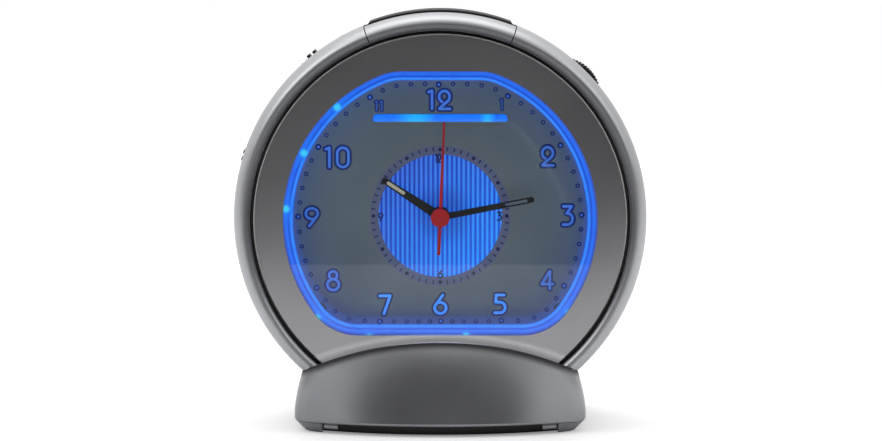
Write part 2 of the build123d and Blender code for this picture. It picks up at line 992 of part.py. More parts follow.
def make_second_hand():
    """Thin red hand with a tail and a round cap."""
    back = hand_levels()["second"]
    front = back + hand_thickness
    outline = blade(second_length, second_root, second_tip)
    outline += Rot(0, 0, 180) * blade(second_tail, second_root, second_root)
    body = slab(turned_to(outline, second_angle), back, front)
    cap = rod(cap_radius, back, back + cap_height)
    top_edge = cap.edges().filter_by(GeomType.CIRCLE).sort_by(Axis.Y)[0]
    cap = fillet(top_edge, cap_height / 3)
    return body + cap - rod(second_arbor_radius, back - overrun, front)


def make_snooze_bar():
    """Silver part of the snooze bar: the rim's top segment, a curved plate and two pins."""
    half = snooze_angle - snooze_play_angle
    outer = case_radius + overrun
    ledge_clear = lip_radius + ledge_cover + move_gap
    bead = drum_front() & sector(ledge_clear, outer, pad_front, rim_crest + overrun, 90, half)
    lip_start = bezel_back + 2 * move_gap
    bead += drum_front() & sector(lip_radius, ledge_clear, lip_start, rim_crest + overrun, 90, half)
    hollow_front = bezel_back - ledge_thickness
    bead -= sector(lip_radius, plate_bore, pad_front - overrun, hollow_front, 90, snooze_angle)
    plate = sector(plate_bore, plate_radius, pad_back, pad_front, 90, snooze_plate_angle)
    rim_end = snooze_pin_height * math.tan(math.radians(half))
    pins = snooze_pin(snooze_pin_radius, rim_end - snooze_pin_length, snooze_pin_end())
    post = upright(snooze_post_radius, tact_top - post_sunk, plate_bore + snooze_plate_thickness / 2)
    return bead + plate + pins + Pos(0, -tact_forward, axis_ground) * post


def make_snooze_pad():
    """Black pad on the snooze bar, with rounded edges."""
    pad = sector(plate_radius, pad_radius, pad_back, pad_front, 90, pad_angle)
    outer_edges = pad.edges().filter_by(lambda edge: pad_edge_outside(edge))
    return fillet(outer_edges, pad_round)


def pad_edge_outside(edge):
    """True for an edge that lies on the pad's outer face."""
    middle = edge @ (1 / 2)
    distance = math.hypot(middle.X, middle.Z - axis_ground)
    return distance > pad_radius - pad_thickness / 4


def make_snooze_board():
    """Small level board behind the lamp board, for the snooze switch."""
    length = lamp_back - tact_forward + tact_size
    middle = lamp_back - length / 2
    place = Pos(0, -middle, axis_ground + tact_bottom - board_thickness / 2)
    return place * Box(snooze_board_width, length, board_thickness)


def make_snooze_switch():
    """Push switch with a round mouth for the snooze bar's post."""
    place = Pos(0, -tact_forward, axis_ground + tact_bottom + tact_height / 2)
    body = place * Box(tact_size, tact_size, tact_height)
    depth = post_sunk + snooze_drop + move_gap
    mouth = upright(snooze_post_radius + move_gap, tact_top - depth, tact_top + overrun)
    return body - Pos(0, -tact_forward, axis_ground) * mouth


def make_wheel(span):
    """Serrated thumb wheel with a hub bore."""
    x, rise = spot(wheel_centre, wheel_angle)
    root = wheel_radius - wheel_tooth_depth
    step = 360 / wheel_teeth
    points = []
    for tooth in range(wheel_teeth):
        points.append(spot(root, tooth * step))
        points.append(spot(wheel_radius, (tooth + 1 / 2) * step))
    outline = make_face(Polyline(*points, close=True)) - Circle(wheel_bore)
    back, front = span
    return slab(Pos(x, rise) * outline, back, front)


def make_pots():
    """Two thin potentiometers with fixed spindles that the thumb wheels turn on."""
    x, rise = spot(wheel_centre, wheel_angle)
    tone_span, volume_span = wheel_spans()
    board_back = control_board_forward - board_thickness
    spindle = wheel_bore - run_fit
    volume = rod(pot_radius, control_board_forward, control_board_forward + pot_height, x, rise)
    volume += rod(spindle, control_board_forward, volume_span[1] + pot_gap, x, rise)
    volume += rod(spindle_head, volume_span[1] + pot_gap, volume_span[1] + pot_gap + spindle_head_height, x, rise)
    tone = rod(pot_radius, board_back - pot_height, board_back, x, rise)
    tone += rod(spindle, tone_span[0] - pot_gap, board_back, x, rise)
    tone += rod(spindle_head, tone_span[0] - pot_gap - spindle_head_height, tone_span[0] - pot_gap, x, rise)
    return Compound(children=[volume, tone])


def make_control_board():
    """Board between the two thumb wheels."""
    outer = parting_radius - wall - move_gap
    edge = math.sqrt(outer**2 - (control_board_width / 2) ** 2)
    middle = edge - control_board_length / 2
    outline = Rot(0, 0, wheel_angle) * Pos(middle, 0) * Rectangle(control_board_length, control_board_width)
    return slab(outline, control_board_forward - board_thickness, control_board_forward)


def make_slide_knob(angle):
    """Slide switch knob: base inside the wall, neck through the slot, two grip ribs."""
    base_top = slide_base_radius()
    top = case_radius + slide_proud
    rib_root = top - slide_rib_height
    base_width = slide_neck_width + 2 * slide_base_margin
    base_length = slide_length + 2 * slide_base_margin
    body = slide_block(angle, base_width, base_length, base_top - slide_base_thickness, base_top)
    body += slide_block(angle, slide_neck_width, slide_length, base_top, rib_root)
    shift = (slide_neck_width - slide_rib_width) / 2
    for side in (-1, 1):
        body += slide_block(angle, slide_rib_width, slide_length, rib_root, top, side * shift)
    stem_root = base_top - slide_base_thickness
    body += slide_block(angle, slide_stem, slide_stem, stem_root - slide_stem_length, stem_root)
    return body


def slide_block(angle, width, length, low, high, shift=0):
    """A block in a slide switch, between two radii."""
    place = outward(angle, (low + high) / 2, slide_forward)
    return place * Pos(shift, 0, 0) * Box(width, length, high - low)


def make_slide_bodies():
    """Two slide switches, each with a slot for its knob's stem."""
    bodies = []
    for angle in slide_angles:
        low = slide_board_radius()
        high = low + slide_body_height
        centre = -slide_travel / 2
        body = slide_block(angle, slide_body_width, slide_body_length, low, high, centre)
        slot_width = slide_stem + slide_travel + 2 * move_gap
        slot_low = high - slide_stem_length - move_gap
        body -= slide_block(angle, slot_width, slide_stem + 2 * move_gap, slot_low, high + overrun, centre)
        bodies.append(body)
    return Compound(children=bodies)


def make_slide_boards():
    """Small boards under the slide switches, against their posts."""
    boards = []
    for angle in slide_angles:
        high = slide_board_radius()
        width = slide_body_width + slide_board_margin + 4 * slide_post_radius
        low = high - board_thickness
        boards.append(slide_block(angle, width, slide_body_length, low, high, -slide_travel / 2))
    return Compound(children=boards)


def make_set_knob(x):
    """Fluted setting knob on the back."""
    front = -case_back - knob_gap
    outline = Circle(knob_radius)
    for flute in range(knob_flutes):
        fx, fy = spot(knob_radius + flute_radius / 3, 360 * flute / knob_flutes)
        outline -= Pos(fx, fy) * Circle(flute_radius)
    body = slab(Pos(x, -knob_drop) * outline, front - knob_height, front)
    return body - rod(shaft_radius, front - knob_height / 2, front + overrun, x, -knob_drop)


def make_set_shaft(x):
    """Long shaft from a setting knob into the movement."""
    back = -case_back - knob_gap - knob_height / 2
    return rod(shaft_radius, back, movement_back + shaft_sunk - seat_fit, x, -knob_drop)


def make_main_board():
    """Main board, notched round the battery bay."""
    tall = main_board_top + main_board_bottom
    middle = (main_board_top - main_board_bottom) / 2
    outline = Pos(0, middle) * Rectangle(2 * main_board_half_width, tall)
    outline = outline & Circle(rear_radius - 2 * wall)
    length, height = bay_size()
    notch_width = length + 2 * bay_wall + 2 * bay_gap
    notch_top = height / 2 + bay_wall + bay_gap - battery_drop
    notch_tall = notch_top + main_board_bottom + overrun
    outline -= Pos(0, notch_top - notch_tall / 2) * Rectangle(notch_width, notch_tall)
    for x in (-knob_spread, knob_spread):
        outline -= Pos(x, -knob_drop) * Circle(shaft_radius + shaft_hole_gap)
    for x, rise in main_post_spots():
        outline -= Pos(x, rise) * Circle(screw_radius + seat_fit)
    x, rise = spot(wheel_centre, wheel_angle)
    outline -= Pos(x, rise) * Circle(wheel_radius + 2 * wheel_slot_gap)
    return slab(outline, main_back, main_front)


def main_post_spots():
    """Centres of the posts that carry the main board."""
    return [(x, rise) for x in (-main_post_x, main_post_x) for rise in (-main_post_low, main_post_high)]


def make_relay():
    """Relay that switches the shaker socket."""
    width, height, depth = relay_size
    return brick(width, height, main_back - depth, main_back, *relay_place)


def make_capacitors():
    """Two can capacitors with rounded ends."""
    cans = []
    for x, rise in capacitor_places:
        can = rod(capacitor_radius, main_back - capacitor_height, main_back, x, rise)
        end = can.edges().filter_by(GeomType.CIRCLE).sort_by(Axis.Y)[-1]
        cans.append(fillet(end, capacitor_radius / 6))
    return Compound(children=cans)


def make_chip():
    """Driver chip on the main board."""
    width, height, depth = chip_size
    return brick(width, height, main_back - depth, main_back, 0, chip_rise)


def speaker_at(outline):
    """A loudspeaker outline in radius and depth from the rear wall, turned about its own axis."""
    start = wall - case_back
    half_plane = Plane(
        origin=(0, -start, axis_ground + speaker_rise), x_dir=(1, 0, 0), z_dir=(0, 0, -1)
    )
    axis = Axis((0, 0, axis_ground + speaker_rise), (0, 1, 0))
    return revolve(half_plane * outline, axis, 360)


def make_basket():
    """Loudspeaker basket: flat rim and a conical shell."""
    inner_edge = speaker_radius - 2 * speaker_rim
    outline = make_face(
        Polyline(
            (inner_edge - speaker_rim, 0),
            (speaker_radius, 0),
            (speaker_radius, speaker_rim),
            (inner_edge, speaker_rim),
            (basket_neck, basket_depth),
            (cone_neck, basket_depth),
            (cone_neck, basket_depth - basket_wall),
            (basket_neck - basket_wall, basket_depth - basket_wall),
            close=True,
        )
    )
    return speaker_at(outline)


def make_cone():
    """Thin paper cone with a closed middle."""
    rim = cone_radius - speaker_rim
    outline = make_face(
        Polyline(
            (0, cone_depth - cone_wall),
            (cone_neck - cone_wall, cone_depth - cone_wall),
            (rim - 2 * cone_wall, cone_lift),
            (rim - cone_wall, cone_lift),
            (cone_neck, cone_depth),
            (0, cone_depth),
            close=True,
        )
    )
    return speaker_at(outline)


def make_magnet():
    """Loudspeaker magnet behind the basket."""
    outline = Pos(basket_neck / 2, basket_depth + magnet_depth / 2) * Rectangle(basket_neck, magnet_depth)
    return speaker_at(outline)


def battery_spans():
    """Left and right of the battery's body in the bay."""
    length, height = bay_size()
    left = bay_gap - length / 2
    return left, left + battery_length


def make_battery():
    """Nine volt block with two snap terminals on one end."""
    left, right = battery_spans()
    back = door_thickness - case_back + bay_gap / 2
    front = back + battery_depth
    outline = Pos((left + right) / 2, -battery_drop) * RectangleRounded(
        battery_length, battery_height, battery_corner
    )
    body = slab(outline, back, front)
    for side in (-1, 1):
        place = Pos(
            right + battery_terminal / 2,
            -(back + front) / 2,
            axis_ground - battery_drop + side * battery_terminal_spread,
        )
        body += place * Rot(0, 90, 0) * Cylinder(battery_terminal_radius, battery_terminal)
    return body


def make_battery_clip():
    """Snap connector plate against the battery's terminals."""
    left, right = battery_spans()
    start = right + battery_terminal
    back = door_thickness - case_back + bay_gap
    front = back + battery_depth - bay_gap
    return brick(clip_thickness, battery_height, back, front, start + clip_thickness / 2, -battery_drop)


def make_socket(x, bore, depth, pin=0):
    """A socket body on the main board with a round collar in the rear wall."""
    inner_back = wall - case_back
    body = brick(jack_body, jack_body, inner_back, main_back, x, -jack_drop)
    body += rod(jack_collar, -case_back, inner_back, x, -jack_drop)
    body -= rod(bore, -case_back - overrun, depth - case_back, x, -jack_drop)
    if pin:
        body += rod(pin, seat_fit - case_back, depth - case_back, x, -jack_drop)
    return body


def case_screw_spots():
    """Centres of the four case screws."""
    return [spot(case_screw_circle, angle) for angle in case_screw_angles]


def base_outline(side_inset, front_inset, corner_inset):
    """The pedestal seen from above: bowed front and back, straight sides, round corners."""
    half = base_half_width - side_inset
    bow = base_depth / 2 - front_inset
    corner_y = base_depth / 2 - corner_inset
    outline = make_face(
        [
            ThreePointArc((-half, -corner_y), (0, -bow), (half, -corner_y)),
            Line((half, -corner_y), (half, corner_y)),
            ThreePointArc((half, corner_y), (0, bow), (-half, corner_y)),
            Line((-half, corner_y), (-half, -corner_y)),
        ]
    )
    return fillet(outline.vertices(), base_corner)


def lip_outline(inset):
    """The pedestal's outline at its lip, drawn in by a border."""
    return base_outline(inset, inset, base_inset_corner[0] + inset)


def base_form(shrink):
    """The pedestal's flared outer form, or its hollow when shrunk by the wall."""
    insets = zip(base_level_ground, base_inset_side, base_inset_front, base_inset_corner)
    levels = []
    for ground, side, front, corner in insets:
        outline = base_outline(side + shrink, front + shrink, corner + shrink)
        levels.append(Pos(0, 0, ground) * outline)
    return loft(levels)


def hump():
    """The space under the arched front edge."""
    centre = base_hump_ground - base_hump_radius
    depth = base_depth / 2 - base_hump_back + overrun
    disc = Rot(90, 0, 0) * Cylinder(base_hump_radius, depth)
    return Pos(0, -base_hump_back - depth / 2, centre) * disc


def side_roof():
    """The space under the pedestal's sides and back, whose edge slopes down to the rear."""
    back = base_depth / 2 + overrun
    side = make_face(
        Polyline(
            (-base_hump_back, 0),
            (-base_hump_back, base_side_ground),
            (back, base_rear_ground),
            (back, 0),
            close=True,
        )
    )
    return extrude(Plane.YZ * side, 2 * base_half_width, both=True)


def case_room(gap):
    """The case's form with a clearance all round, flat below like the case."""
    front = drum_front(gap) + rod(crest_radius, -parting_back, rim_crest + gap)
    room = front + drum_rear(-gap, case_back + gap)
    return room & above(case_floor_ground - gap)


def skirt():
    """The sloping form under the pedestal's lip, down to the table."""
    top = Pos(0, 0, base_lip_ground) * lip_outline(plinth_inset)
    return loft([lip_outline(plinth_inset + skirt_slope), top])


def foot_blocks(grow):
    """Blocks that mark off the four corners of the skirt."""
    blocks = []
    for x_side in (-1, 1):
        for y_side in (-1, 1):
            x = x_side * (base_half_width - foot_width / 2)
            y = y_side * (base_depth / 2 - foot_length / 2)
            box = Box(foot_width + 2 * grow, foot_length + 2 * grow, 4 * base_lip_ground)
            blocks.append(Pos(x, y, 0) * box)
    return blocks[0] + blocks[1] + blocks[2] + blocks[3]


def lug_blocks(grow):
    """Blocks that mark off the pedestal's small tabs beside the front feet."""
    height = 2 * (base_lip_ground - lug_ground + grow)
    blocks = []
    for side in (-1, 1):
        place = Pos(side * lug_x, (lug_depth - base_depth) / 2, base_lip_ground)
        blocks.append(place * Box(lug_width + 2 * grow, lug_depth + 2 * grow, height))
    return blocks[0] + blocks[1]


def base_screw_spots():
    """Places of the screws that hold the plinth to the pedestal, seen from above."""
    return [(x, y) for x in (-base_screw_x, base_screw_x) for y in (-base_screw_y, base_screw_y)]


def case_pad_spots():
    """Places of the pads under the case, seen from above."""
    return [(x, -forward) for x in (-case_pad_x, case_pad_x) for forward in case_pad_forwards]


def make_base_shell():
    """Flared pedestal shell that the drum sits in, with an arched front edge."""
    form = base_form(0)
    roof = hump() + side_roof()
    body = form & roof
    lip_edges = body.edges().group_by(Axis.Z)[0]
    body = fillet(lip_edges, base_lip_round)
    body -= case_room(base_case_gap)
    hollow = base_form(wall) & (Pos(0, 0, -wall) * roof)
    body -= hollow - case_room(base_case_gap + wall)
    floor = base_lip_ground + plinth_step
    step_room = extrude(lip_outline(wall + plinth_step_border), overrun + plinth_step)
    body -= Pos(0, 0, base_lip_ground - overrun) * step_room
    for x, y in base_screw_spots():
        body += upright(base_boss_radius, floor, floor + base_boss_height, x, y)
        body -= upright(screw_radius, base_lip_ground - overrun, floor + base_boss_height, x, y)
    for x, y in case_pad_spots():
        body -= upright(case_pad_radius + move_gap, base_lip_ground, case_floor_ground, x, y)
    return body


def make_base_plate():
    """Dark plinth under the pedestal, with a step inside the shell and pads for the case."""
    body = skirt() & above(plinth_ground)
    body -= foot_blocks(seat_fit)
    body -= lug_blocks(seat_fit)
    step_inset = wall + plinth_step_border + seat_fit
    step = Pos(0, 0, base_lip_ground) * extrude(lip_outline(step_inset), plinth_step)
    step -= lug_blocks(seat_fit)
    body += step
    for x, y in case_pad_spots():
        body += upright(case_pad_radius, base_lip_ground, case_floor_ground, x, y)
    for x, y in case_pad_spots() + base_screw_spots():
        body -= upright(screw_radius + seat_fit, -overrun, case_floor_ground, x, y)
        sunk = plinth_ground + base_screw_sunk
        body -= upright(screw_head_radius + seat_fit, -overrun, sunk, x, y)
    return body


def make_base_feet():
    """Grey sloping feet at the pedestal's four corners."""
    return skirt() & foot_blocks(0)


def upright_screws(places, top):
    """Screws that go up from the plinth's sunk seats."""
    seat = plinth_ground + base_screw_sunk
    group = []
    for x, y in places:
        head = upright(screw_head_radius, seat - screw_head_height, seat, x, y)
        group.append(head + upright(screw_radius, seat, top, x, y))
    return group


def make_base_screws():
    """Screws under the plinth: four into the pedestal's bosses and four into the case."""
    boss_top = base_lip_ground + plinth_step + base_boss_height - seat_fit
    case_top = case_floor_ground + wall + case_pad_screw_height - seat_fit
    group = upright_screws(base_screw_spots(), boss_top)
    return Compound(children=group + upright_screws(case_pad_spots(), case_top))


def add_floor_bosses(body, forward):
    """Bosses inside the case's floor for two screws from below."""
    top = case_floor_ground + wall + case_pad_screw_height
    for x in (-case_pad_x, case_pad_x):
        body += upright(base_boss_radius, case_floor_ground, top, x, -forward)
        body -= upright(screw_radius, case_floor_ground - overrun, top, x, -forward)
    return body


def make_movement_nut():
    """Flat nut that holds the movement to the lamp board."""
    outline = RegularPolygon(nut_radius, 6) - Circle(bush_radius)
    return slab(outline, lamp_front, lamp_front + nut_height)


def make_parts():
    """Every separate piece, by the name of its node."""
    tone_span, volume_span = wheel_spans()
    levels = hand_levels()
    post_places = [post_spot(angle) for angle in post_angles]
    lamp_screw_point = lamp_front + screw_grip - seat_fit
    main_screw_point = main_back - screw_grip + seat_fit
    case_screw_seat = -parting_back - well_floor
    case_screw_point = screw_grip - parting_back - seat_fit
    return {
        "front_case": make_front_case(),
        "rear_case": make_rear_case(),
        "bezel_plate": make_bezel(),
        "lens": make_lens(),
        "light_ring": make_light_ring(),
        "dial_plate": make_dial(),
        "dial_frame": make_dial_frame(),
        "subdial_lens": make_subdial(),
        "light_bar": make_light_bar(),
        "reflector_cup": make_cup(),
        "lamp_board": make_lamp_board(),
        "ring_lamps": make_ring_leds(),
        "chip_lamps": make_chip_leds(),
        "lamp_board_screws": screws(
            post_places, lamp_back, lamp_screw_point, screw_radius, screw_head_radius, screw_head_height
        ),
        "movement_case": make_movement_case(),
        "movement_cover": make_movement_cover(),
        "movement_nut": make_movement_nut(),
        "alarm_arbor": pipe(alarm_pipe_radius, alarm_bore, levels["alarm"] + hand_thickness + hub_proud),
        "hour_arbor": pipe(hour_pipe_radius, hour_bore, levels["hour"] + hub_height),
        "minute_arbor": pipe(minute_pipe_radius, minute_bore, levels["minute"] + hub_height),
        "second_arbor": pipe(second_arbor_radius, 0, levels["second"] + hand_thickness),
        "alarm_hand": make_alarm_hand(),
        "hour_hand": make_hour_hand(),
        "hour_hand_inlay": make_hour_inlay(),
        "minute_hand": make_minute_hand(),
        "second_hand": make_second_hand(),
        "snooze_bar": make_snooze_bar(),
        "snooze_pad": make_snooze_pad(),
        "snooze_board": make_snooze_board(),
        "snooze_switch": make_snooze_switch(),
        "volume_wheel": make_wheel(volume_span),
        "tone_wheel": make_wheel(tone_span),
        "control_pots": make_pots(),
        "control_board": make_control_board(),
        "slide_switch_bodies": make_slide_bodies(),
        "slide_switch_boards": make_slide_boards(),
        "upper_slide_knob": make_slide_knob(slide_angles[0]),
        "lower_slide_knob": make_slide_knob(slide_angles[1]),
        "time_set_knob": make_set_knob(-knob_spread),
        "time_set_shaft": make_set_shaft(-knob_spread),
        "alarm_set_knob": make_set_knob(knob_spread),
        "alarm_set_shaft": make_set_shaft(knob_spread),
        "main_board": make_main_board(),
        "relay": make_relay(),
        "capacitors": make_capacitors(),
        "driver_chip": make_chip(),
        "main_board_screws": screws(
            main_post_spots(), main_front, main_screw_point, screw_radius, screw_head_radius, screw_head_height
        ),
        "speaker_basket": make_basket(),
        "speaker_cone": make_cone(),
        "speaker_magnet": make_magnet(),
        "battery": make_battery(),
        "battery_clip": make_battery_clip(),
        "battery_door": make_battery_door(),
        "power_socket": make_socket(-jack_x, power_bore, power_depth, power_pin),
        "shaker_socket": make_socket(jack_x, shaker_bore, shaker_depth),
        "case_screws": screws(
            case_screw_spots(), case_screw_seat, case_screw_point, case_screw_radius,
            case_screw_head, case_screw_head_height,
        ),
        "base_shell": make_base_shell(),
        "base_plate": make_base_plate(),
        "base_feet": make_base_feet(),
        "base_screws": make_base_screws(),
    }


def main():
    """Writes one file for each piece."""
    os.makedirs("parts", exist_ok=True)
    for name, shape in make_parts().items():
        export_step(shape, os.path.join("parts", name + ".step"))


main()
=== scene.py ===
import math

import bmesh
import bpy
import numpy as np
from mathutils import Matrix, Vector


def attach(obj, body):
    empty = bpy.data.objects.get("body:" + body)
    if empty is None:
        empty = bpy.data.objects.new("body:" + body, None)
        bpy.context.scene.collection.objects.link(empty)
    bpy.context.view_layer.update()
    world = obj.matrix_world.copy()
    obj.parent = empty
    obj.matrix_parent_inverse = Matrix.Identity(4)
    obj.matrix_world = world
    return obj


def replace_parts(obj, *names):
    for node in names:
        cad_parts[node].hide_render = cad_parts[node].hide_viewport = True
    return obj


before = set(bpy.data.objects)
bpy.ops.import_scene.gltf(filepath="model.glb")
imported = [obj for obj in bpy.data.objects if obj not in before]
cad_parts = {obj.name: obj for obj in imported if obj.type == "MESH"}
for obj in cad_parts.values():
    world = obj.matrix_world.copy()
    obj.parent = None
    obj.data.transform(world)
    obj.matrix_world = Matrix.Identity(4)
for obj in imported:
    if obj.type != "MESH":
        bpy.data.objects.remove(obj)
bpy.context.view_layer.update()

# Places are millimetres in the frame: x to the viewer's right, y to the rear, z up from the ground.
# On the dial a place is its x and its rise above the hands' axis, and out is towards the viewer.
MM = 0.001
AXIS = 69.5
DIAL = 12.5

# Window: a circle cut flat above and below the axis, with soft corners.
WINDOW_RADIUS = 51.1
WINDOW_TOP = 48.6
WINDOW_BOTTOM = 37.6
WINDOW_CORNER = 18.0

# Light ring: its section as depths inwards from the window's outline and distances out, the two
# lines drawn along it, and the lamps that show in it, as pixels of the photograph and a reach.
RING_SECTION = ((-1.5, 0.03), (0.6, 0.03), (2.95, 10.2), (3.1, 10.8), (2.25, 11.85), (-1.5, 11.85))
RING_DEEP_LINE = 1.75
RING_PALE_LINE = 2.55
RING_SPOTS = (
    (339, 105, 9), (306, 150, 8), (288, 205, 8), (318, 313, 7), (568, 308, 7),
    (370, 332, 4), (466, 331, 3),
)

# Light bar: its raised face, and the rise below which the dial's mask hides its root.
BAR_HALF = 20.8
BAR_RISE = 32.4
BAR_WIDTH = 2.5
BAR_MASK = 31.15

# Ribbed lens in the dial's middle, with the hour track round it.
RIB_PITCH = 1.55
RIB_TOP = 0.5
TRACK_RADIUS = 22.0
TRACK_INNER = 20.2
TRACK_OUTER = 23.4
DASH_START = 21.7
DASH_END = 22.7

# Rim: the radius of its turned-in lip, inside which it is black, the painted shade beside it and how far
# back that goes.
LIP_RADIUS = 61.74
SHADE_START = 61.8
SHADE_END = 64.7
SHADE_REAR = -26.0

# Where the snooze bar's silver ends at the pad, and the radius where the painted highlight on the
# bezel's cut edge starts.
SNOOZE_REAR = -21.8
BEZEL_EDGE = 60.3

# Pedestal: the arch over its front and the bow of that front, its plan at the lip, its feet and
# the tabs under the lip. An inset is how far in from the plan they start, a slope how much
# further in they are at the ground.
ARCH_RADIUS = 110.0
ARCH_GROUND = 30.2
ARCH_CENTRE = ARCH_GROUND - ARCH_RADIUS
ARCH_FRONT = 33.6
ARCH_BOW = 0.0047
PLAN_HALF = 47.8
PLAN_FRONT = 38.0
PLAN_SAG = 10.8
PLAN_CORNER = 7.0
LIP_GROUND = 3.4
FOOT_INNER = 38.5
FOOT_REAR = -18.0
FOOT_INSET = 0.3
FOOT_SIDE_SLOPE = 3.0
FOOT_FRONT_SLOPE = 1.8
FOOT_LEVELS = (0.0, 0.3, 3.0, 3.38)
LUG_INNER = 33.3
LUG_OUTER = 38.3
LUG_REAR = -28.0
LUG_INSET = 0.9
LUG_SLOPE = 1.4
LUG_LEVELS = (1.4, 1.7, 3.38)

BLACK = (0.0, 0.0, 0.0, 1.0)
WHITE = (1.0, 1.0, 1.0, 1.0)


def dial_x(pixel):
    """Millimetres across the dial from a place in the photograph."""
    return (pixel - 440.3) / 3.033


def dial_rise(pixel):
    """Millimetres above the axis on the dial from a place in the photograph."""
    return (215.87 - pixel) / 3.014


# Shader tools


class Value:
    """A number in a shader, so that plain arithmetic builds Math nodes."""

    def __init__(self, tree, socket):
        self.tree = tree
        self.socket = socket

    def math(self, operation, *others, clamp=False):
        node = self.tree.nodes.new("ShaderNodeMath")
        node.operation = operation
        node.use_clamp = clamp
        for slot, item in zip(node.inputs, (self,) + others):
            plug(self.tree, slot, item)
        return Value(self.tree, node.outputs[0])

    def __add__(self, other):
        return self.math("ADD", other)

    __radd__ = __add__

    def __mul__(self, other):
        return self.math("MULTIPLY", other)

    __rmul__ = __mul__

    def __sub__(self, other):
        return self.math("SUBTRACT", other)

    def __rsub__(self, other):
        return (self * -1.0) + other

    def __truediv__(self, other):
        return self.math("DIVIDE", other)

    def abs(self):
        return self.math("ABSOLUTE")

    def sqrt(self):
        return self.math("SQRT")

    def fract(self):
        return self.math("FRACT")

    def least(self, other):
        return self.math("MINIMUM", other)

    def most(self, other):
        return self.math("MAXIMUM", other)

    def over(self, other):
        return self.math("GREATER_THAN", other)

    def under(self, other):
        return self.math("LESS_THAN", other)

    def clamp(self):
        return self.math("ADD", 0.0, clamp=True)

    def pick(self, first, second):
        """Goes from the first number to the second as this one goes from 0 to 1."""
        return (second - first) * self + first

    def step(self, low, high):
        """Goes smoothly from 0 at low to 1 at high."""
        node = self.tree.nodes.new("ShaderNodeMapRange")
        node.interpolation_type = "SMOOTHSTEP"
        plug(self.tree, node.inputs["Value"], self)
        node.inputs["From Min"].default_value = low
        node.inputs["From Max"].default_value = high
        return Value(self.tree, node.outputs["Result"])

    def bell(self, centre, width):
        """A soft bump of the given half width round a centre."""
        return 1.0 - (self - centre).abs().step(0.0, width)


def plug(tree, slot, item):
    """Puts a number, a colour or another node's output into a node's input."""
    if isinstance(item, Value):
        tree.links.new(item.socket, slot)
    elif isinstance(item, bpy.types.NodeSocket):
        tree.links.new(item, slot)
    elif item is not None:
        slot.default_value = item


def linear(red, green, blue):
    """A colour given in screen values from 0 to 255, as light."""
    parts = []
    for part in (red, green, blue):
        part = part / 255.0
        parts.append(part / 12.92 if part <= 0.04045 else ((part + 0.055) / 1.055) ** 2.4)
    return (*parts, 1.0)


class Nodes:
    """A node tree with one method for any node."""

    def __init__(self, tree):
        self.tree = tree

    def node(self, kind, inputs=(), **settings):
        """Any node: its settings first, then its inputs by name or place."""
        made = self.tree.nodes.new(kind)
        for key, item in settings.items():
            setattr(made, key, item)
        for key, item in dict(inputs).items():
            plug(self.tree, made.inputs[key], item)
        return made

    def mix(self, amount, first, second):
        """A colour between two others."""
        made = self.node("ShaderNodeMix", data_type="RGBA")
        plug(self.tree, made.inputs[0], amount)
        plug(self.tree, made.inputs[6], first)
        plug(self.tree, made.inputs[7], second)
        return made.outputs[2]


class Look(Nodes):
    """One material. Its x, y and z are the object's millimetres, rise is z from the hands' axis."""

    def __init__(self, name):
        self.material = bpy.data.materials.new(name)
        self.material.use_nodes = True
        super().__init__(self.material.node_tree)
        self.surface = self.tree.nodes["Principled BSDF"]
        self.out = self.tree.nodes["Material Output"]
        self.where = self.tree.nodes.new("ShaderNodeTexCoord").outputs["Object"]
        split = self.node("ShaderNodeSeparateXYZ", {0: self.where})
        self.x, self.y, self.z = (Value(self.tree, end) * (1.0 / MM) for end in split.outputs)
        self.rise = self.z - AXIS

    def radius(self, x=0.0, rise=0.0):
        """Distance from a line along the clock's axis."""
        return ((self.x - x) * (self.x - x) + (self.rise - rise) * (self.rise - rise)).sqrt()

    def noise(self, scale, detail, stretch=None):
        """Noise over the surface, with features about 1/scale metres wide."""
        where = self.where
        if stretch:
            where = self.node(
                "ShaderNodeVectorMath", {0: self.where, 1: stretch}, operation="MULTIPLY"
            ).outputs[0]
        made = self.node("ShaderNodeTexNoise", {"Vector": where, "Scale": scale, "Detail": detail})
        return Value(self.tree, made.outputs[0])

    def set(self, **inputs):
        """Sets inputs of the surface: underscores stand for spaces."""
        for key, item in inputs.items():
            plug(self.tree, self.surface.inputs[key.replace("_", " ")], item)

    def bump(self, height, distance):
        """Bends the light by a height in millimetres of the given distance."""
        made = self.node("ShaderNodeBump", {"Height": height, "Distance": distance * MM})
        self.set(Normal=made.outputs[0])


def window_depth(look):
    """Distance inwards from the window's outline: a circle cut flat above and below, soft corners."""
    side = look.x.abs()
    depth = (WINDOW_RADIUS - look.radius()).least(WINDOW_TOP - look.rise)
    depth = depth.least(look.rise + WINDOW_BOTTOM)
    inner = WINDOW_RADIUS - WINDOW_CORNER
    for flat, sign in ((WINDOW_TOP, 1.0), (WINDOW_BOTTOM, -1.0)):
        high = flat - WINDOW_CORNER
        across = math.sqrt(inner * inner - high * high)
        up = look.rise * sign
        near = ((side - across) * (side - across) + (up - high) * (up - high)).sqrt()
        corner = side.over(across) * (up * across).over(side * high)
        depth = corner.pick(depth, WINDOW_CORNER - near)
    return depth


def over_arch(look):
    """Millimetres above the pedestal's arched edge."""
    high = look.z - ARCH_CENTRE
    return (look.x * look.x + high * high).sqrt() - ARCH_RADIUS


# Kinds of finish


def paint(name, dark, light, rough, metallic, flake=0.05):
    """Silver lacquer on plastic: slow change of tone, fine metal flake and faint orange peel."""
    look = Look(name)
    slow = look.noise(28.0, 2.0)
    flakes = look.noise(9000.0, 1.0)
    peel = look.noise(900.0, 2.0)
    tone = slow.step(0.3, 0.7) * 0.7 + (flakes - 0.5) * flake * 6.0
    look.flakes = flakes
    look.coat = look.mix(tone.clamp(), dark, light)
    look.set(Base_Color=look.coat, Metallic=metallic)
    look.set(Roughness=rough + (flakes - 0.5) * 0.1 + (slow - 0.5) * 0.04)
    look.bump(flakes * 0.4 + peel * 0.6, 0.005)
    return look


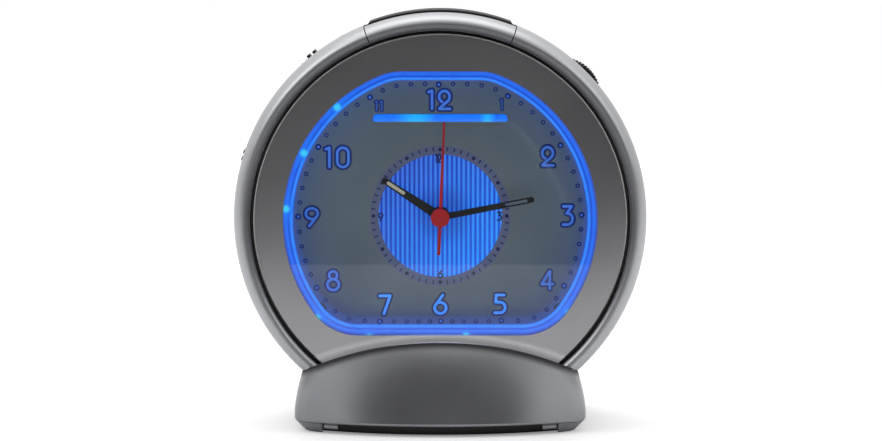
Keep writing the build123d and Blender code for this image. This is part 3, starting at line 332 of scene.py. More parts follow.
def plastic(name, dark, light, rough=0.4, grain=0.02, metallic=0.0):
    """Moulded plastic: slow change of tone and a fine grain."""
    look = Look(name)
    slow = look.noise(45.0, 2.0)
    fine = look.noise(2600.0, 2.0)
    look.set(Base_Color=look.mix(slow.step(0.3, 0.7), dark, light), Metallic=metallic)
    look.set(Roughness=rough + (fine - 0.5) * 0.12 + (slow - 0.5) * 0.06)
    look.bump(fine, grain)
    return look


def metal(name, dark, light, rough=0.28):
    """Turned or plated metal with faint scratches."""
    look = Look(name)
    slow = look.noise(120.0, 2.0)
    fine = look.noise(5000.0, 2.0, (1.0, 0.15, 1.0))
    look.set(Base_Color=look.mix(slow.step(0.3, 0.7), dark, light), Metallic=1.0)
    look.set(Roughness=rough + (fine - 0.5) * 0.18)
    look.bump(fine, 0.01)
    return look


def lit(name, colour, strength=1.0):
    """Clear or milky plastic that a lamp shines through: the light is its emission."""
    look = Look(name)
    look.set(Base_Color=(0.02, 0.03, 0.06, 1.0), Roughness=0.25, Emission_Strength=strength)
    look.set(Emission_Color=colour(look))
    return look


def ink(name, dark, light, glow):
    """Screen-printed ink, with a little light through it."""
    look = Look(name)
    slow = look.noise(60.0, 2.0)
    fine = look.noise(4000.0, 2.0)
    colour = look.mix(slow.step(0.3, 0.7), dark, light)
    look.set(Base_Color=colour, Roughness=0.45 + (fine - 0.5) * 0.1)
    look.set(Emission_Color=colour, Emission_Strength=glow)
    return look


# Lit pieces


def ring_light(look):
    """Blue ring: violet outer line, deep blue middle, pale inner line, brighter round each lamp."""
    depth = window_depth(look)
    grain = look.noise(260.0, 2.0)
    deep = linear(0, 72, 214)
    bright = linear(26, 112, 246)
    violet = linear(48, 84, 206)
    pale = linear(58, 142, 255)
    colour = look.mix(depth.step(0.2, 0.9), violet, bright)
    colour = look.mix(depth.bell(RING_DEEP_LINE, 0.6), colour, deep)
    colour = look.mix(depth.bell(RING_PALE_LINE, 0.5), colour, pale)
    colour = look.mix(((grain - 0.5) * 1.2).clamp(), colour, deep)
    halo, core = None, None
    for pixel_x, pixel_y, reach in RING_SPOTS:
        away = look.radius(dial_x(pixel_x), dial_rise(pixel_y))
        soft = 1.0 - away.step(0.0, reach)
        hot = 1.0 - away.step(0.5, 1.7)
        halo = soft if halo is None else halo.most(soft)
        core = hot if core is None else core.most(hot)
    colour = look.mix((halo * 0.6).clamp(), colour, linear(10, 122, 255))
    return look.mix(core * 0.85, colour, linear(60, 215, 255))


def ribs_light(look):
    """Ribbed lens: pale crests and deep furrows, brighter to the lower right, dim near the hub."""
    crest = (((look.x / RIB_PITCH - 0.5).fract() - 0.5).abs() * 2.0).step(0.25, 0.8)
    grow = ((look.x - look.rise) * (1.0 / 28.0) * 0.5 + 0.5).clamp()
    cloud = look.noise(90.0, 2.0)
    hub = look.radius(1.0, 1.0).step(4.0, 12.0)
    deep = look.mix(grow, linear(8, 48, 165), linear(0, 78, 215))
    pale = look.mix(grow, linear(58, 112, 222), linear(50, 150, 255))
    colour = look.mix(1.0 - crest, deep, pale)
    dim = ((1.0 - hub) * 0.45 + (cloud - 0.5) * 0.3).clamp()
    return look.mix(dim, colour, linear(6, 34, 130))


def bar_light(look):
    """Light bar: azure, with cyan stretches over the lamps and dark specks between them."""
    lamps = look.x.bell(-8.0, 8.0).most(look.x.bell(15.5, 3.0))
    colour = look.mix(lamps, linear(2, 112, 255), linear(14, 168, 255))
    dark = look.x.bell(-16.5, 2.6).most(look.x.bell(-0.5, 2.4)).most(look.x.bell(18.8, 1.2))
    speck = look.noise(900.0, 2.0, (1.0, 1.0, 0.6)).step(0.48, 0.6)
    return look.mix(dark * speck * 0.55, colour, linear(2, 70, 215))


def bar_root_paint():
    """Light bar under its raised face: it shows only above the mask, and is dial grey below."""
    look = Look("bar_root")
    masked = look.rise.under(BAR_MASK)
    grain = look.noise(3000.0, 2.0)
    look.set(Base_Color=look.mix(masked, linear(4, 8, 20), linear(118, 133, 132)))
    look.set(Roughness=0.5 + (grain - 0.5) * 0.1)
    look.set(Emission_Color=look.mix(masked, linear(2, 112, 255), BLACK), Emission_Strength=1.0)
    return look


def lamp_paint():
    """Lamps in the ring: lit blue, but the low ones are dull as the dial past the ring's edge."""
    look = Look("lamp_glow")
    past = window_depth(look).step(1.2, 1.5) * look.rise.under(-20.0)
    cloud = look.noise(300.0, 2.0).step(0.3, 0.7)
    look.set(Base_Color=look.mix(past, linear(10, 30, 90), linear(96, 108, 118)))
    look.set(Roughness=0.5 + (cloud - 0.5) * 0.1, Emission_Strength=1.0)
    blue = look.mix(cloud, linear(30, 110, 246), linear(60, 150, 255))
    look.set(Emission_Color=look.mix(past, blue, BLACK))
    return look


# Dial and window


def dial_paint():
    """Blue-grey dial plate with a faint grain; light from the ring spills on its border."""
    look = Look("dial_paint")
    slow = look.noise(40.0, 2.0)
    fine = look.noise(3000.0, 2.0)
    radius = look.radius()
    band = radius.step(TRACK_INNER, 20.6) * (1.0 - radius.step(22.9, TRACK_OUTER))
    colour = look.mix(slow.step(0.3, 0.7), linear(107, 120, 122), linear(114, 127, 129))
    look.set(Base_Color=look.mix(band * 0.6, colour, linear(82, 86, 116)))
    look.set(Roughness=0.5 + (fine - 0.5) * 0.1)
    spill = 1.0 - window_depth(look).step(2.9, 4.8)
    light = look.mix(spill, BLACK, linear(22, 44, 130))
    look.set(Emission_Color=look.mix(band, light, linear(44, 48, 92)), Emission_Strength=0.6)
    look.bump(fine, 0.006)
    return look


def clear_sheet():
    """Clear window: lets light straight through; only its outer side mirrors a little of it."""
    look = Look("clear_window")
    fine = look.noise(20.0, 2.0)
    through = look.node("ShaderNodeBsdfTransparent", {"Color": (0.97, 0.98, 0.98, 1.0)})
    gloss = look.node("ShaderNodeBsdfGlossy", {"Color": WHITE, "Roughness": 0.02})
    edge = Value(look.tree, look.node("ShaderNodeFresnel", {"IOR": 1.45}).outputs[0])
    inside = Value(look.tree, look.node("ShaderNodeNewGeometry").outputs["Backfacing"])
    share = edge * ((fine - 0.5) * 0.2 + 1.1) * (1.0 - inside)
    both = look.node("ShaderNodeMixShader", {0: share, 1: through.outputs[0], 2: gloss.outputs[0]})
    look.tree.links.new(both.outputs[0], look.out.inputs["Surface"])
    look.tree.nodes.remove(look.surface)
    return look


# Case and pedestal


def rim_paint(name, pad_edge=None):
    """Silver lacquer with painted shade where the rim turns in; the seam is painted black as shade, and
    the inside is bare black.
    """
    look = paint(name, linear(168, 169, 172), linear(184, 185, 188), rough=0.42, metallic=0.92)
    radius = look.radius()
    # Painted shade on the rim's inner slope beside the lip, strongest above the axis and fading out
    # towards the bottom.
    fold_shade = radius.step(SHADE_START, 62.0) * (1.0 - radius.step(62.6, SHADE_END))
    fold_shade = fold_shade * look.rise.step(-40.0, 5.0) * look.y.under(SHADE_REAR)
    # Black inside the lip: painted shade in the seam, and bare plastic inside the case; on the snooze
    # bar it is black behind pad_edge too.
    bare_and_seam_shade = radius.under(LIP_RADIUS)
    if pad_edge is not None:
        bare_and_seam_shade = bare_and_seam_shade.most(look.y.over(pad_edge))
    coat = look.mix(fold_shade * 0.95, look.coat, linear(92, 93, 96))
    look.set(Base_Color=look.mix(bare_and_seam_shade, coat, linear(14, 14, 15)), Metallic=(1.0 - bare_and_seam_shade) * 0.92)
    return look


def plate_paint():
    """Satin dark silver plate with a painted highlight along its cut edge, and painted light, pale and
    not metallic, where it goes down behind the arch.
    """
    look = paint(
        "bezel_paint", linear(150, 150, 153), linear(164, 164, 166), rough=0.18, metallic=0.8, flake=0.04
    )
    # Painted highlight: a near-white, non-metallic line along the bezel's cut edge, fading out towards
    # the bottom.
    edge = look.radius().step(BEZEL_EDGE, BEZEL_EDGE + 0.12) * look.rise.step(-45.0, 0.0)
    # Painted light: pale and not metallic low down, within a few millimetres above the pedestal's arch.
    painted_low_light = (1.0 - over_arch(look).step(0.6, 3.4)) * look.rise.under(-30.0)
    coat = look.mix(painted_low_light, look.coat, linear(240, 240, 242))
    look.set(Base_Color=look.mix(edge, coat, linear(252, 252, 252)))
    look.set(Metallic=(1.0 - edge) * (1.0 - painted_low_light) * 0.8)
    return look


def pedestal_paint():
    """Darker silver lacquer, with painted light on the ledge behind the arch, pale and not metallic, and
    painted shade along the arch's edge.
    """
    look = paint(
        "base_paint", linear(146, 147, 150), linear(160, 161, 164), rough=0.3, metallic=0.95, flake=0.03
    )
    below = -1.0 * over_arch(look)
    behind = look.y + ARCH_FRONT - look.x * look.x * ARCH_BOW
    arch = below.over(-0.4)
    # Painted light: the ledge behind the arch is pale and not metallic.
    ledge = behind.step(1.6, 2.8) * arch * below.under(0.4)
    # Painted shade: near black on the front just under the arch's edge, rougher and less metallic there.
    shade = (1.0 - below.step(0.0, 2.6)) * arch * behind.under(1.4)
    coat = look.mix(shade * 0.94, look.coat, linear(8, 8, 9))
    look.set(Base_Color=look.mix(ledge, coat, linear(226, 226, 229)))
    look.set(Metallic=(1.0 - ledge) * (1.0 - shade * 0.9) * 0.95)
    look.set(Roughness=0.3 + shade * 0.45 + (look.flakes - 0.5) * 0.1)
    return look


def pad_rubber():
    """Black rubber pad, matt at its front edge and smoother to the rear, with painted sheen that
    lightens it to the rear.
    """
    look = Look("pad_rubber")
    fine = look.noise(2600.0, 2.0)
    # Painted sheen: the rubber's colour goes lighter towards the rear.
    rear = look.y.step(-18.0, -6.0)
    look.set(Base_Color=look.mix(rear, linear(4, 4, 5), linear(70, 70, 72)))
    look.set(Roughness=0.95 - rear * 0.4 + (fine - 0.5) * 0.1, Specular_IOR_Level=0.1)
    look.bump(fine, 0.02)
    return look


# Materials of this clock

silver = paint("silver_paint", linear(172, 173, 176), linear(190, 191, 194), rough=0.4, metallic=0.92)
rim_silver = rim_paint("rim_paint")
snooze_silver = rim_paint("snooze_paint", SNOOZE_REAR)
bezel_paint = plate_paint()
base_paint = pedestal_paint()
black_rubber = pad_rubber()
black_gloss = plastic("hand_paint", linear(3, 3, 4), linear(7, 7, 8), 0.55, 0.004)
black_control = plastic("control_plastic", linear(22, 22, 24), linear(34, 34, 36), 0.38)
plinth_black = plastic("plinth_plastic", linear(8, 8, 9), linear(14, 14, 15), 0.6, 0.03)
foot_grey = plastic("foot_plastic", linear(124, 125, 128), linear(142, 143, 146), 0.45, 0.03, 0.3)
red_paint = plastic("second_hand_paint", linear(172, 4, 14), linear(198, 10, 22), 0.5, 0.004)
cream = plastic("inlay_paste", linear(190, 184, 150), linear(222, 216, 186), 0.6)
white_plastic = plastic("white_plastic", linear(205, 206, 204), linear(222, 222, 220))
lamp_plastic = plastic("lamp_epoxy", linear(190, 205, 225), linear(215, 225, 240), 0.15)
board_green = plastic("board_lacquer", linear(18, 74, 40), linear(28, 96, 54), 0.3, 0.01)
steel = metal("plated_steel", linear(150, 150, 152), linear(190, 190, 192))
brass = metal("brass", linear(176, 140, 74), linear(206, 170, 98))
movement_black = plastic("movement_plastic", linear(26, 26, 28), linear(38, 38, 40))
grey_plastic = plastic("grey_plastic", linear(110, 112, 116), linear(132, 134, 138))
relay_blue = plastic("relay_plastic", linear(24, 70, 150), linear(34, 88, 176), 0.3)
can_sleeve = metal("can_sleeve", linear(120, 122, 128), linear(160, 162, 168), 0.35)
paper = plastic("cone_paper", linear(38, 36, 34), linear(58, 55, 52), 0.8, 0.05)
magnet_grey = metal("magnet", linear(96, 96, 98), linear(128, 128, 130), 0.45)
battery_shell = plastic("battery_shell", linear(70, 72, 78), linear(96, 98, 104), 0.3)
ring_glow = lit("ring_glow", ring_light)
ribs_glow = lit("ribs_glow", ribs_light)
bar_glow = lit("bar_glow", bar_light, 1.1)
bar_root = bar_root_paint()
lamp_glow = lamp_paint()


def show(look, *nodes):
    """Gives CAD nodes a material."""
    for name in nodes:
        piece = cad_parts[name]
        if not piece.material_slots:
            piece.data.materials.append(look.material)
        for place in piece.material_slots:
            place.material = look.material


show(rim_silver, "front_case")
show(snooze_silver, "snooze_bar")
show(silver, "rear_case", "battery_door")
show(bezel_paint, "bezel_plate")
show(clear_sheet(), "lens")
show(ring_glow, "light_ring")
show(dial_paint(), "dial_plate")
show(white_plastic, "dial_frame", "reflector_cup")
show(ribs_glow, "subdial_lens")
show(bar_root, "light_bar")
show(board_green, "lamp_board", "snooze_board", "control_board", "slide_switch_boards", "main_board")
show(lamp_glow, "ring_lamps")
show(lamp_plastic, "chip_lamps")
show(
    steel, "lamp_board_screws", "main_board_screws", "case_screws", "base_screws",
    "time_set_shaft", "alarm_set_shaft", "second_arbor", "speaker_basket",
)
show(movement_black, "movement_case")
show(
    grey_plastic, "movement_cover", "snooze_switch", "control_pots", "slide_switch_bodies",
    "driver_chip", "battery_clip",
)
show(brass, "movement_nut", "alarm_arbor", "hour_arbor", "minute_arbor")
show(black_gloss, "alarm_hand", "hour_hand", "minute_hand")
show(cream, "hour_hand_inlay")
show(red_paint, "second_hand")
show(black_rubber, "snooze_pad")
show(
    black_control, "volume_wheel", "tone_wheel", "upper_slide_knob", "lower_slide_knob",
    "time_set_knob", "alarm_set_knob", "power_socket", "shaker_socket",
)
show(relay_blue, "relay")
show(can_sleeve, "capacitors")
show(paper, "speaker_cone")
show(magnet_grey, "speaker_magnet")
show(battery_shell, "battery")
show(base_paint, "base_shell")
show(plinth_black, "base_plate")
show(foot_grey, "base_feet")


# Mesh tools


def wrap(rings, starts):
    """Four-sided faces from each starting row to the next one; after the last comes the first."""
    rows, around = rings.shape[:2]
    row, col = np.meshgrid(starts, np.arange(around), indexing="ij")
    step = (col + 1) % around
    down = (row + 1) % rows
    corners = [row * around + col, row * around + step, down * around + step, down * around + col]
    return np.stack(corners, -1).reshape(-1, 4).tolist()


def skin(rings):
    """Faces through rings of points, an array (rows, around, 3); each end closes on its middle."""
    rows, around = rings.shape[:2]
    points = np.concatenate([rings.reshape(-1, 3), rings[:1].mean(1), rings[-1:].mean(1)])
    col = np.arange(around)
    step = (col + 1) % around
    last = (rows - 1) * around
    first = np.stack([np.full(around, rows * around), step, col], -1)
    end = np.stack([np.full(around, rows * around + 1), last + col, last + step], -1)
    return points, wrap(rings, np.arange(rows - 1)) + first.tolist() + end.tolist()


def torus_skin(rings):
    """Faces through rings that join up both ways, an array (rows, around, 3)."""
    return rings.reshape(-1, 3), wrap(rings, np.arange(len(rings)))


def turn_outward(data):
    """Turns every closed shell's faces outwards."""
    work = bmesh.new()
    work.from_mesh(data)
    bmesh.ops.recalc_face_normals(work, faces=work.faces)
    work.to_mesh(data)
    work.free()


def piece(name, shells, look, body="case", slot=None):
    """One object from closed shells in metres; it rides a body and takes the look's finish; slot is not
    used.
    """
    points, faces, start = [], [], 0
    for shell_points, shell_faces in shells:
        points.append(shell_points)
        faces += [[start + corner for corner in face] for face in shell_faces]
        start += len(shell_points)
    data = bpy.data.meshes.new(name)
    data.from_pydata(np.concatenate(points).tolist(), [], faces)
    data.materials.append(look.material)
    data.polygons.foreach_set("use_smooth", np.ones(len(data.polygons), bool))
    data.update()
    made = bpy.data.objects.new(name, data)
    bpy.context.scene.collection.objects.link(made)
    turn_outward(data)
    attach(made, body)
    return made


def on_dial(x, rise, out):
    """Points in metres from millimetres across, above the axis and in front of the dial."""
    return np.stack([x, -(out + DIAL) + np.zeros_like(x), rise + AXIS], -1) * MM


def full_turn(around):
    """Angles once round, in equal steps."""
    return np.linspace(0.0, 2.0 * np.pi, around, endpoint=False)


def bead(path, width, height, base=0.0, around=10, cap=4):
    """A flat bead along a path of (x, rise), with round ends.

    P(s, t) = c(s) + (w / 2) k(s) cos t n(s), and out of the dial by base + h k(s) sin t;
    k falls from 1 to nearly 0 over each end as a quarter circle does.
    """
    path = np.asarray(path, float)
    along = np.gradient(path, axis=0)
    along /= np.linalg.norm(along, axis=1, keepdims=True)
    side = np.stack([along[:, 1], -along[:, 0]], 1)
    tilt = np.linspace(0.47 * np.pi, 0.0, cap, endpoint=False)
    half = width / 2
    head = path[:1] - along[:1] * (half * np.sin(tilt))[:, None]
    tail = path[-1:] + along[-1:] * (half * np.sin(tilt[::-1]))[:, None]
    centre = np.concatenate([head, path, tail])
    across = np.concatenate([np.repeat(side[:1], cap, 0), side, np.repeat(side[-1:], cap, 0)])
    size = np.concatenate([np.cos(tilt), np.ones(len(path)), np.cos(tilt[::-1])])
    turn = full_turn(around)
    wide = half * size[:, None] * np.cos(turn)
    flat = centre[:, None, :] + wide[..., None] * across[:, None, :]
    return skin(on_dial(flat[..., 0], flat[..., 1], base + height * size[:, None] * np.sin(turn)))


def loop_bead(path, width, height, base=0.0, around=10):
    """A flat bead round a closed path: P(s, t) = c(s) + (w / 2) cos t n(s), out by h sin t."""
    path = np.asarray(path, float)
    along = np.roll(path, -1, 0) - np.roll(path, 1, 0)
    along /= np.linalg.norm(along, axis=1, keepdims=True)
    side = np.stack([along[:, 1], -along[:, 0]], 1)
    turn = full_turn(around)
    flat = path[:, None, :] + (width / 2 * np.cos(turn))[:, None] * side[:, None, :]
    out = base + height * np.sin(turn) + np.zeros((len(path), 1))
    return torus_skin(on_dial(flat[..., 0], flat[..., 1], out))


def dot(x, rise, radius, height, around=18, rows=5):
    """A low dome: r(u) = R cos u, out(u) = h sin u."""
    lean = np.linspace(-0.47 * np.pi, 0.47 * np.pi, rows)[:, None]
    turn = full_turn(around)
    reach = radius * np.cos(lean)
    out = height * np.sin(lean) + np.zeros(around)
    return skin(on_dial(x + reach * np.cos(turn), rise + reach * np.sin(turn), out))


def arc(cx, cy, rx, ry, start, end, count=24):
    """Points on an ellipse, angles in degrees from the right, anticlockwise."""
    turn = np.radians(np.linspace(start, end, count))
    return np.stack([cx + rx * np.cos(turn), cy + ry * np.sin(turn)], 1)


def run(*corners, step=0.03):
    """Points along straight pieces, close together."""
    parts = []
    for start, end in zip(corners, corners[1:]):
        start, end = np.array(start, float), np.array(end, float)
        count = max(3, int(np.linalg.norm(end - start) / step))
        parts.append(start + (end - start) * np.linspace(0.0, 1.0, count, endpoint=False)[:, None])
    return np.concatenate(parts + [np.array([corners[-1]], float)])


def thin_out(path, gap=0.3):
    """Drops points that lie closer than a gap, and keeps the two ends."""
    steps = np.linalg.norm(np.diff(path, axis=0), axis=1)
    marks = np.floor(np.concatenate([[0.0], np.cumsum(steps)]) / gap)
    keep = np.concatenate([[True], np.diff(marks) > 0])
    keep[-1] = True
    return path[keep]


# Light ring and light bar


def window_path(depth):
    """Points round the window's outline, drawn in by a depth: arcs with shared centres."""
    inner = WINDOW_RADIUS - WINDOW_CORNER
    parts = []
    for flat in (WINDOW_TOP, -WINDOW_BOTTOM):
        up = flat - math.copysign(WINDOW_CORNER, flat)
        across = math.sqrt(inner * inner - up * up)
        lean = math.degrees(math.atan2(abs(up), across))
        radius = WINDOW_CORNER - depth
        edge = math.copysign(radius, flat) + up
        if flat > 0:
            parts.append(arc(across, up, radius, radius, lean, 90, 16))
            parts.append(np.stack([np.linspace(across, -across, 20)[1:-1], np.full(18, edge)], 1))
            parts.append(arc(-across, up, radius, radius, 90, 180 - lean, 16))
            upper = lean
        else:
            parts.append(arc(-across, up, radius, radius, 180 + lean, 270, 24))
            parts.append(np.stack([np.linspace(-across, across, 40)[1:-1], np.full(38, edge)], 1))
            parts.append(arc(across, up, radius, radius, 270, 360 - lean, 24))
            lower = lean
    side = WINDOW_RADIUS - depth
    parts.insert(3, arc(0, 0, side, side, 180 - upper, 180 + lower, 90)[1:-1])
    parts.append(arc(0, 0, side, side, -lower, upper, 90)[1:-1])
    return np.concatenate(parts)


def ring_band():
    """Light ring: one section carried round the window, P(s, k) = path(s, depth k), out k."""
    rows = [on_dial(*window_path(depth).T, out) for depth, out in RING_SECTION]
    made = piece("light_ring_band", [torus_skin(np.stack(rows, 1))], ring_glow, slot="ring_blue")
    made.data.polygons.foreach_set("use_smooth", np.zeros(len(made.data.polygons), bool))
    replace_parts(made, "light_ring")


def bar_face():
    """Raised face of the light bar: a low bead with round ends."""
    path = run((-BAR_HALF, BAR_RISE), (BAR_HALF, BAR_RISE), step=0.8)
    piece("light_bar_face", [bead(path, BAR_WIDTH, 0.25, 0.22)], bar_glow, slot="bar_blue")


ring_band()
bar_face()


# Feet and tabs under the pedestal


def plan_edge(side, front, x):
    """The pedestal's bowed front edge, drawn in at the sides and in front: y for any x."""
    half = PLAN_HALF - side
    radius = (half * half + PLAN_SAG * PLAN_SAG) / (2 * PLAN_SAG)
    return radius - (PLAN_FRONT - front) - np.sqrt(radius * radius - x * x), radius


def foot_ring(drop):
    """One foot seen from above: the bow, a round corner, the side, and two straight cuts."""
    side = FOOT_INSET + FOOT_SIDE_SLOPE * drop
    front = FOOT_INSET + FOOT_FRONT_SLOPE * drop
    half = PLAN_HALF - side
    middle, radius = plan_edge(side, front, 0.0)
    centre = middle + radius
    corner_x = half - PLAN_CORNER
    corner_y = centre - math.sqrt((radius - PLAN_CORNER) ** 2 - corner_x ** 2)
    lean = math.degrees(math.atan2(corner_y - centre, corner_x))
    corner_start = corner_x + PLAN_CORNER * math.cos(math.radians(lean))
    reach = np.linspace(FOOT_INNER, corner_start, 8, endpoint=False)
    bow = np.stack([reach, plan_edge(side, front, reach)[0]], 1)
    corner = arc(corner_x, corner_y, PLAN_CORNER, PLAN_CORNER, lean, 0, 12)
    return np.concatenate([bow, corner, [[half, FOOT_REAR], [FOOT_INNER, FOOT_REAR]]])


def lug_ring(drop):
    """One tab seen from above: its front follows the lip's bow."""
    reach = np.linspace(LUG_INNER, LUG_OUTER, 8)
    inset = LUG_INSET + LUG_SLOPE * drop
    bow = np.stack([reach, plan_edge(inset, inset, reach)[0]], 1)
    return np.concatenate([bow, [[LUG_OUTER, LUG_REAR], [LUG_INNER, LUG_REAR]]])


def stack_up(ring, levels, flips):
    """Closed forms from rings at several heights, which close in towards the ground, mirrored."""
    rows = []
    for height in levels:
        flat = ring(1.0 - height / LIP_GROUND)
        rows.append(np.column_stack([flat, np.full(len(flat), height)]))
    rings = np.stack(rows)
    return [skin(rings * np.array([*flip, 1.0]) * MM) for flip in flips]


feet = stack_up(foot_ring, FOOT_LEVELS, ((1, 1), (-1, 1), (1, -1), (-1, -1)))
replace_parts(piece("corner_feet", feet, foot_grey, slot="foot_grey"), "base_feet")
lugs = stack_up(lug_ring, LUG_LEVELS, ((1, 1), (-1, 1)))
piece("lip_lugs", lugs, base_paint, slot="base_grey")


# Printing on the dial

# Centre lines of the numerals, in a box one unit high: plain round strokes.
ZERO = np.concatenate([arc(0.29, 0.71, 0.29, 0.29, 0, 180), arc(0.29, 0.29, 0.29, 0.29, 180, 360)])
TWO = np.concatenate([arc(0.33, 0.68, 0.32, 0.32, 245, -38, 30), run((0.565, 0.46), (0.03, 0.03))])
THREE = np.concatenate([arc(0.30, 0.31, 0.34, 0.31, 100, -90, 26), run((0.27, 0.0), (0.0, 0.0))])
FIVE = np.concatenate([
    run((0.06, 0.60), (0.30, 0.60)),
    arc(0.32, 0.30, 0.33, 0.30, 88, -90, 26),
    run((0.28, 0.0), (0.0, 0.0)),
])
SIX = np.concatenate([run((0.46, 1.0), (0.08, 0.46)), arc(0.33, 0.30, 0.30, 0.30, 148, 466, 36)])
STROKES = {
    "0": [("loop", ZERO)],
    "1": [("line", run((0.24, 0.0), (0.24, 1.0))), ("line", run((0.24, 1.0), (0.0, 0.93)))],
    "2": [("line", TWO), ("line", run((0.03, 0.0), (0.68, 0.0)))],
    "3": [
        ("line", run((0.02, 1.0), (0.58, 1.0))),
        ("line", run((0.58, 1.0), (0.26, 0.62))),
        ("line", THREE),
    ],
    "4": [
        ("line", run((0.50, 1.0), (0.0, 0.27))),
        ("line", run((0.0, 0.27), (0.72, 0.27))),
        ("line", run((0.52, 1.0), (0.52, 0.0))),
    ],
    "5": [
        ("line", run((0.08, 1.0), (0.58, 1.0))),
        ("line", run((0.08, 1.0), (0.06, 0.60))),
        ("line", FIVE),
    ],
    "6": [("line", SIX)],
    "7": [("line", run((0.0, 1.0), (0.66, 1.0))), ("line", run((0.66, 1.0), (0.26, 0.0)))],
    "8": [
        ("loop", arc(0.32, 0.29, 0.32, 0.29, 0, 354, 40)),
        ("loop", arc(0.32, 0.79, 0.22, 0.21, 0, 354, 32)),
    ],
    "9": [("line", np.array([0.66, 1.0]) - SIX)],
}

# Each numeral's outer box as pixels of the photograph: left, top, right, bottom.
BOXES = {
    "12": [("1", 425.4, 87.9, 435.4, 112.4), ("2", 436.0, 88.2, 453.4, 112.4)],
    "11": [("1", 373.8, 99.6, 379.1, 112.5), ("1", 378.6, 99.6, 384.2, 112.5)],
    "1": [("1", 498.6, 98.0, 503.9, 111.8)],
    "10": [("1", 322.8, 144.6, 332.9, 170.2), ("0", 334.2, 144.6, 352.0, 170.2)],
    "2": [("2", 538.9, 144.0, 556.5, 168.6)],
    "3": [("3", 560.0, 203.0, 576.0, 227.7)],
    "4": [("4", 538.9, 268.2, 556.6, 292.2)],
    "5": [("5", 491.9, 292.0, 508.8, 316.4)],
    "6": [("6", 431.5, 292.0, 449.5, 317.0)],
    "7": [("7", 376.4, 292.8, 393.3, 317.4)],
    "8": [("8", 323.8, 268.2, 341.9, 293.5)],
    "9": [("9", 302.6, 205.0, 321.0, 229.2)],
}
LOW_NUMERALS = ("5", "6", "7")
SMALL_NUMERALS = ("11", "1")

# The same for the four small numerals on the ribbed lens.
TRACK_BOXES = {
    "12": [("1", 434.9, 153.8, 437.5, 163.0), ("2", 437.7, 153.8, 441.8, 163.0)],
    "9": [("9", 378.0, 212.2, 383.6, 221.4)],
    "3": [("3", 496.8, 211.4, 502.2, 220.6)],
    "6": [("6", 437.6, 269.8, 443.2, 278.4)],
}

# Middles of the hour dots as pixels of the photograph.
HOUR_DOTS = (
    (438.9, 85.1), (507.6, 96.6), (560.4, 145.4), (581.7, 214.9), (564.5, 286.0), (501.7, 320.9),
    (441.0, 321.5), (379.7, 322.0), (316.4, 287.9), (298.2, 216.6), (318.7, 147.0), (370.3, 97.7),
)

# Minute rings: the circle they lie on, larger below, and each flat's rise with its sharpness.
MINUTE_CIRCLE = 46.6
MINUTE_GROWTH = 1.1
MINUTE_TOP = (43.7, 60)
MINUTE_BOTTOM = (35.2, 20)
MINUTE_RING = 0.55

# Widths: the dark outline of large and small numerals, the stroke that fits a small numeral to
# its box, and the strokes of the hour track's numerals.
OUTLINE = (2.15, 1.3)
SMALL_BOX_STROKE = 1.35
TRACK_STROKE = 0.5


def numeral(digit, left, top, right, bottom, stroke):
    """A numeral's strokes, fitted to its box less the stroke's width."""
    x0, x1 = dial_x(left) + stroke / 2, dial_x(right) - stroke / 2
    y0, y1 = dial_rise(bottom) + stroke / 2, dial_rise(top) - stroke / 2
    every = np.concatenate([path for kind, path in STROKES[digit]])
    low, high = every.min(0), every.max(0)
    size = np.array([x1 - x0, y1 - y0]) / (high - low)
    return [(kind, (path - low) * size + (x0, y0)) for kind, path in STROKES[digit]]


def stroke_bead(kind, path, *sizes):
    """A bead along one stroke, closed or with two ends."""
    return loop_bead(path, *sizes) if kind == "loop" else bead(path, *sizes)


def printed(large, small, height, names):
    """Beads for the numerals of the given names, as wide as their size asks."""
    shells = []
    for name in names:
        is_small = name in SMALL_NUMERALS
        box_stroke = SMALL_BOX_STROKE if is_small else OUTLINE[0]
        for digit, *box in BOXES[name]:
            for kind, path in numeral(digit, *box, box_stroke):
                shells.append(stroke_bead(kind, thin_out(path), small if is_small else large, height))
    return shells


def print_numerals(edge, plain, cyan, dim):
    """Twelve numerals: a dark outline under a pale line, which lamps tint in three ways."""
    tinted = LOW_NUMERALS + SMALL_NUMERALS
    rest = [name for name in BOXES if name not in tinted]
    low = [name for name in BOXES if name in LOW_NUMERALS]
    piece("numeral_edges", printed(*OUTLINE, 0.03, BOXES), edge)
    piece("numerals", printed(1.0, 0.55, 0.05, rest), plain)
    piece("numerals_low", printed(1.05, 0.55, 0.05, low), cyan)
    piece("numerals_small", printed(1.0, 0.5, 0.05, SMALL_NUMERALS), dim)


def minute_place(angle):
    """Place of a minute ring at a clockwise angle: a circle cut flat above and below.

    The radius is (R^-p + (|cos a| / limit)^p)^(-1/p), with R a little larger below, so that
    the flats run into the circle round a soft corner.
    """
    turn = math.radians(angle)
    limit, power = MINUTE_TOP if math.cos(turn) > 0 else MINUTE_BOTTOM
    circle = MINUTE_CIRCLE - MINUTE_GROWTH * math.cos(turn)
    radius = (circle ** -power + (abs(math.cos(turn)) / limit) ** power) ** (-1 / power)
    return radius * math.sin(turn), radius * math.cos(turn)


def print_minutes(edge, heart):
    """A ring for each minute and a dot with a pale heart for each hour."""
    rings = []
    for minute in range(60):
        if minute % 5:
            x, rise = minute_place(minute * 6 - 0.5)
            turn = full_turn(20)
            ring = np.stack([x + MINUTE_RING * np.cos(turn), rise + MINUTE_RING * np.sin(turn)], 1)
            rings.append(loop_bead(ring, 0.42, 0.03, around=8))
    piece("minute_rings", rings, edge)
    places = [(dial_x(x), dial_rise(y)) for x, y in HOUR_DOTS]
    piece("hour_dots", [dot(*place, 1.03, 0.03) for place in places], edge)
    piece("hour_dot_hearts", [dot(*place, 0.52, 0.05) for place in places], heart)


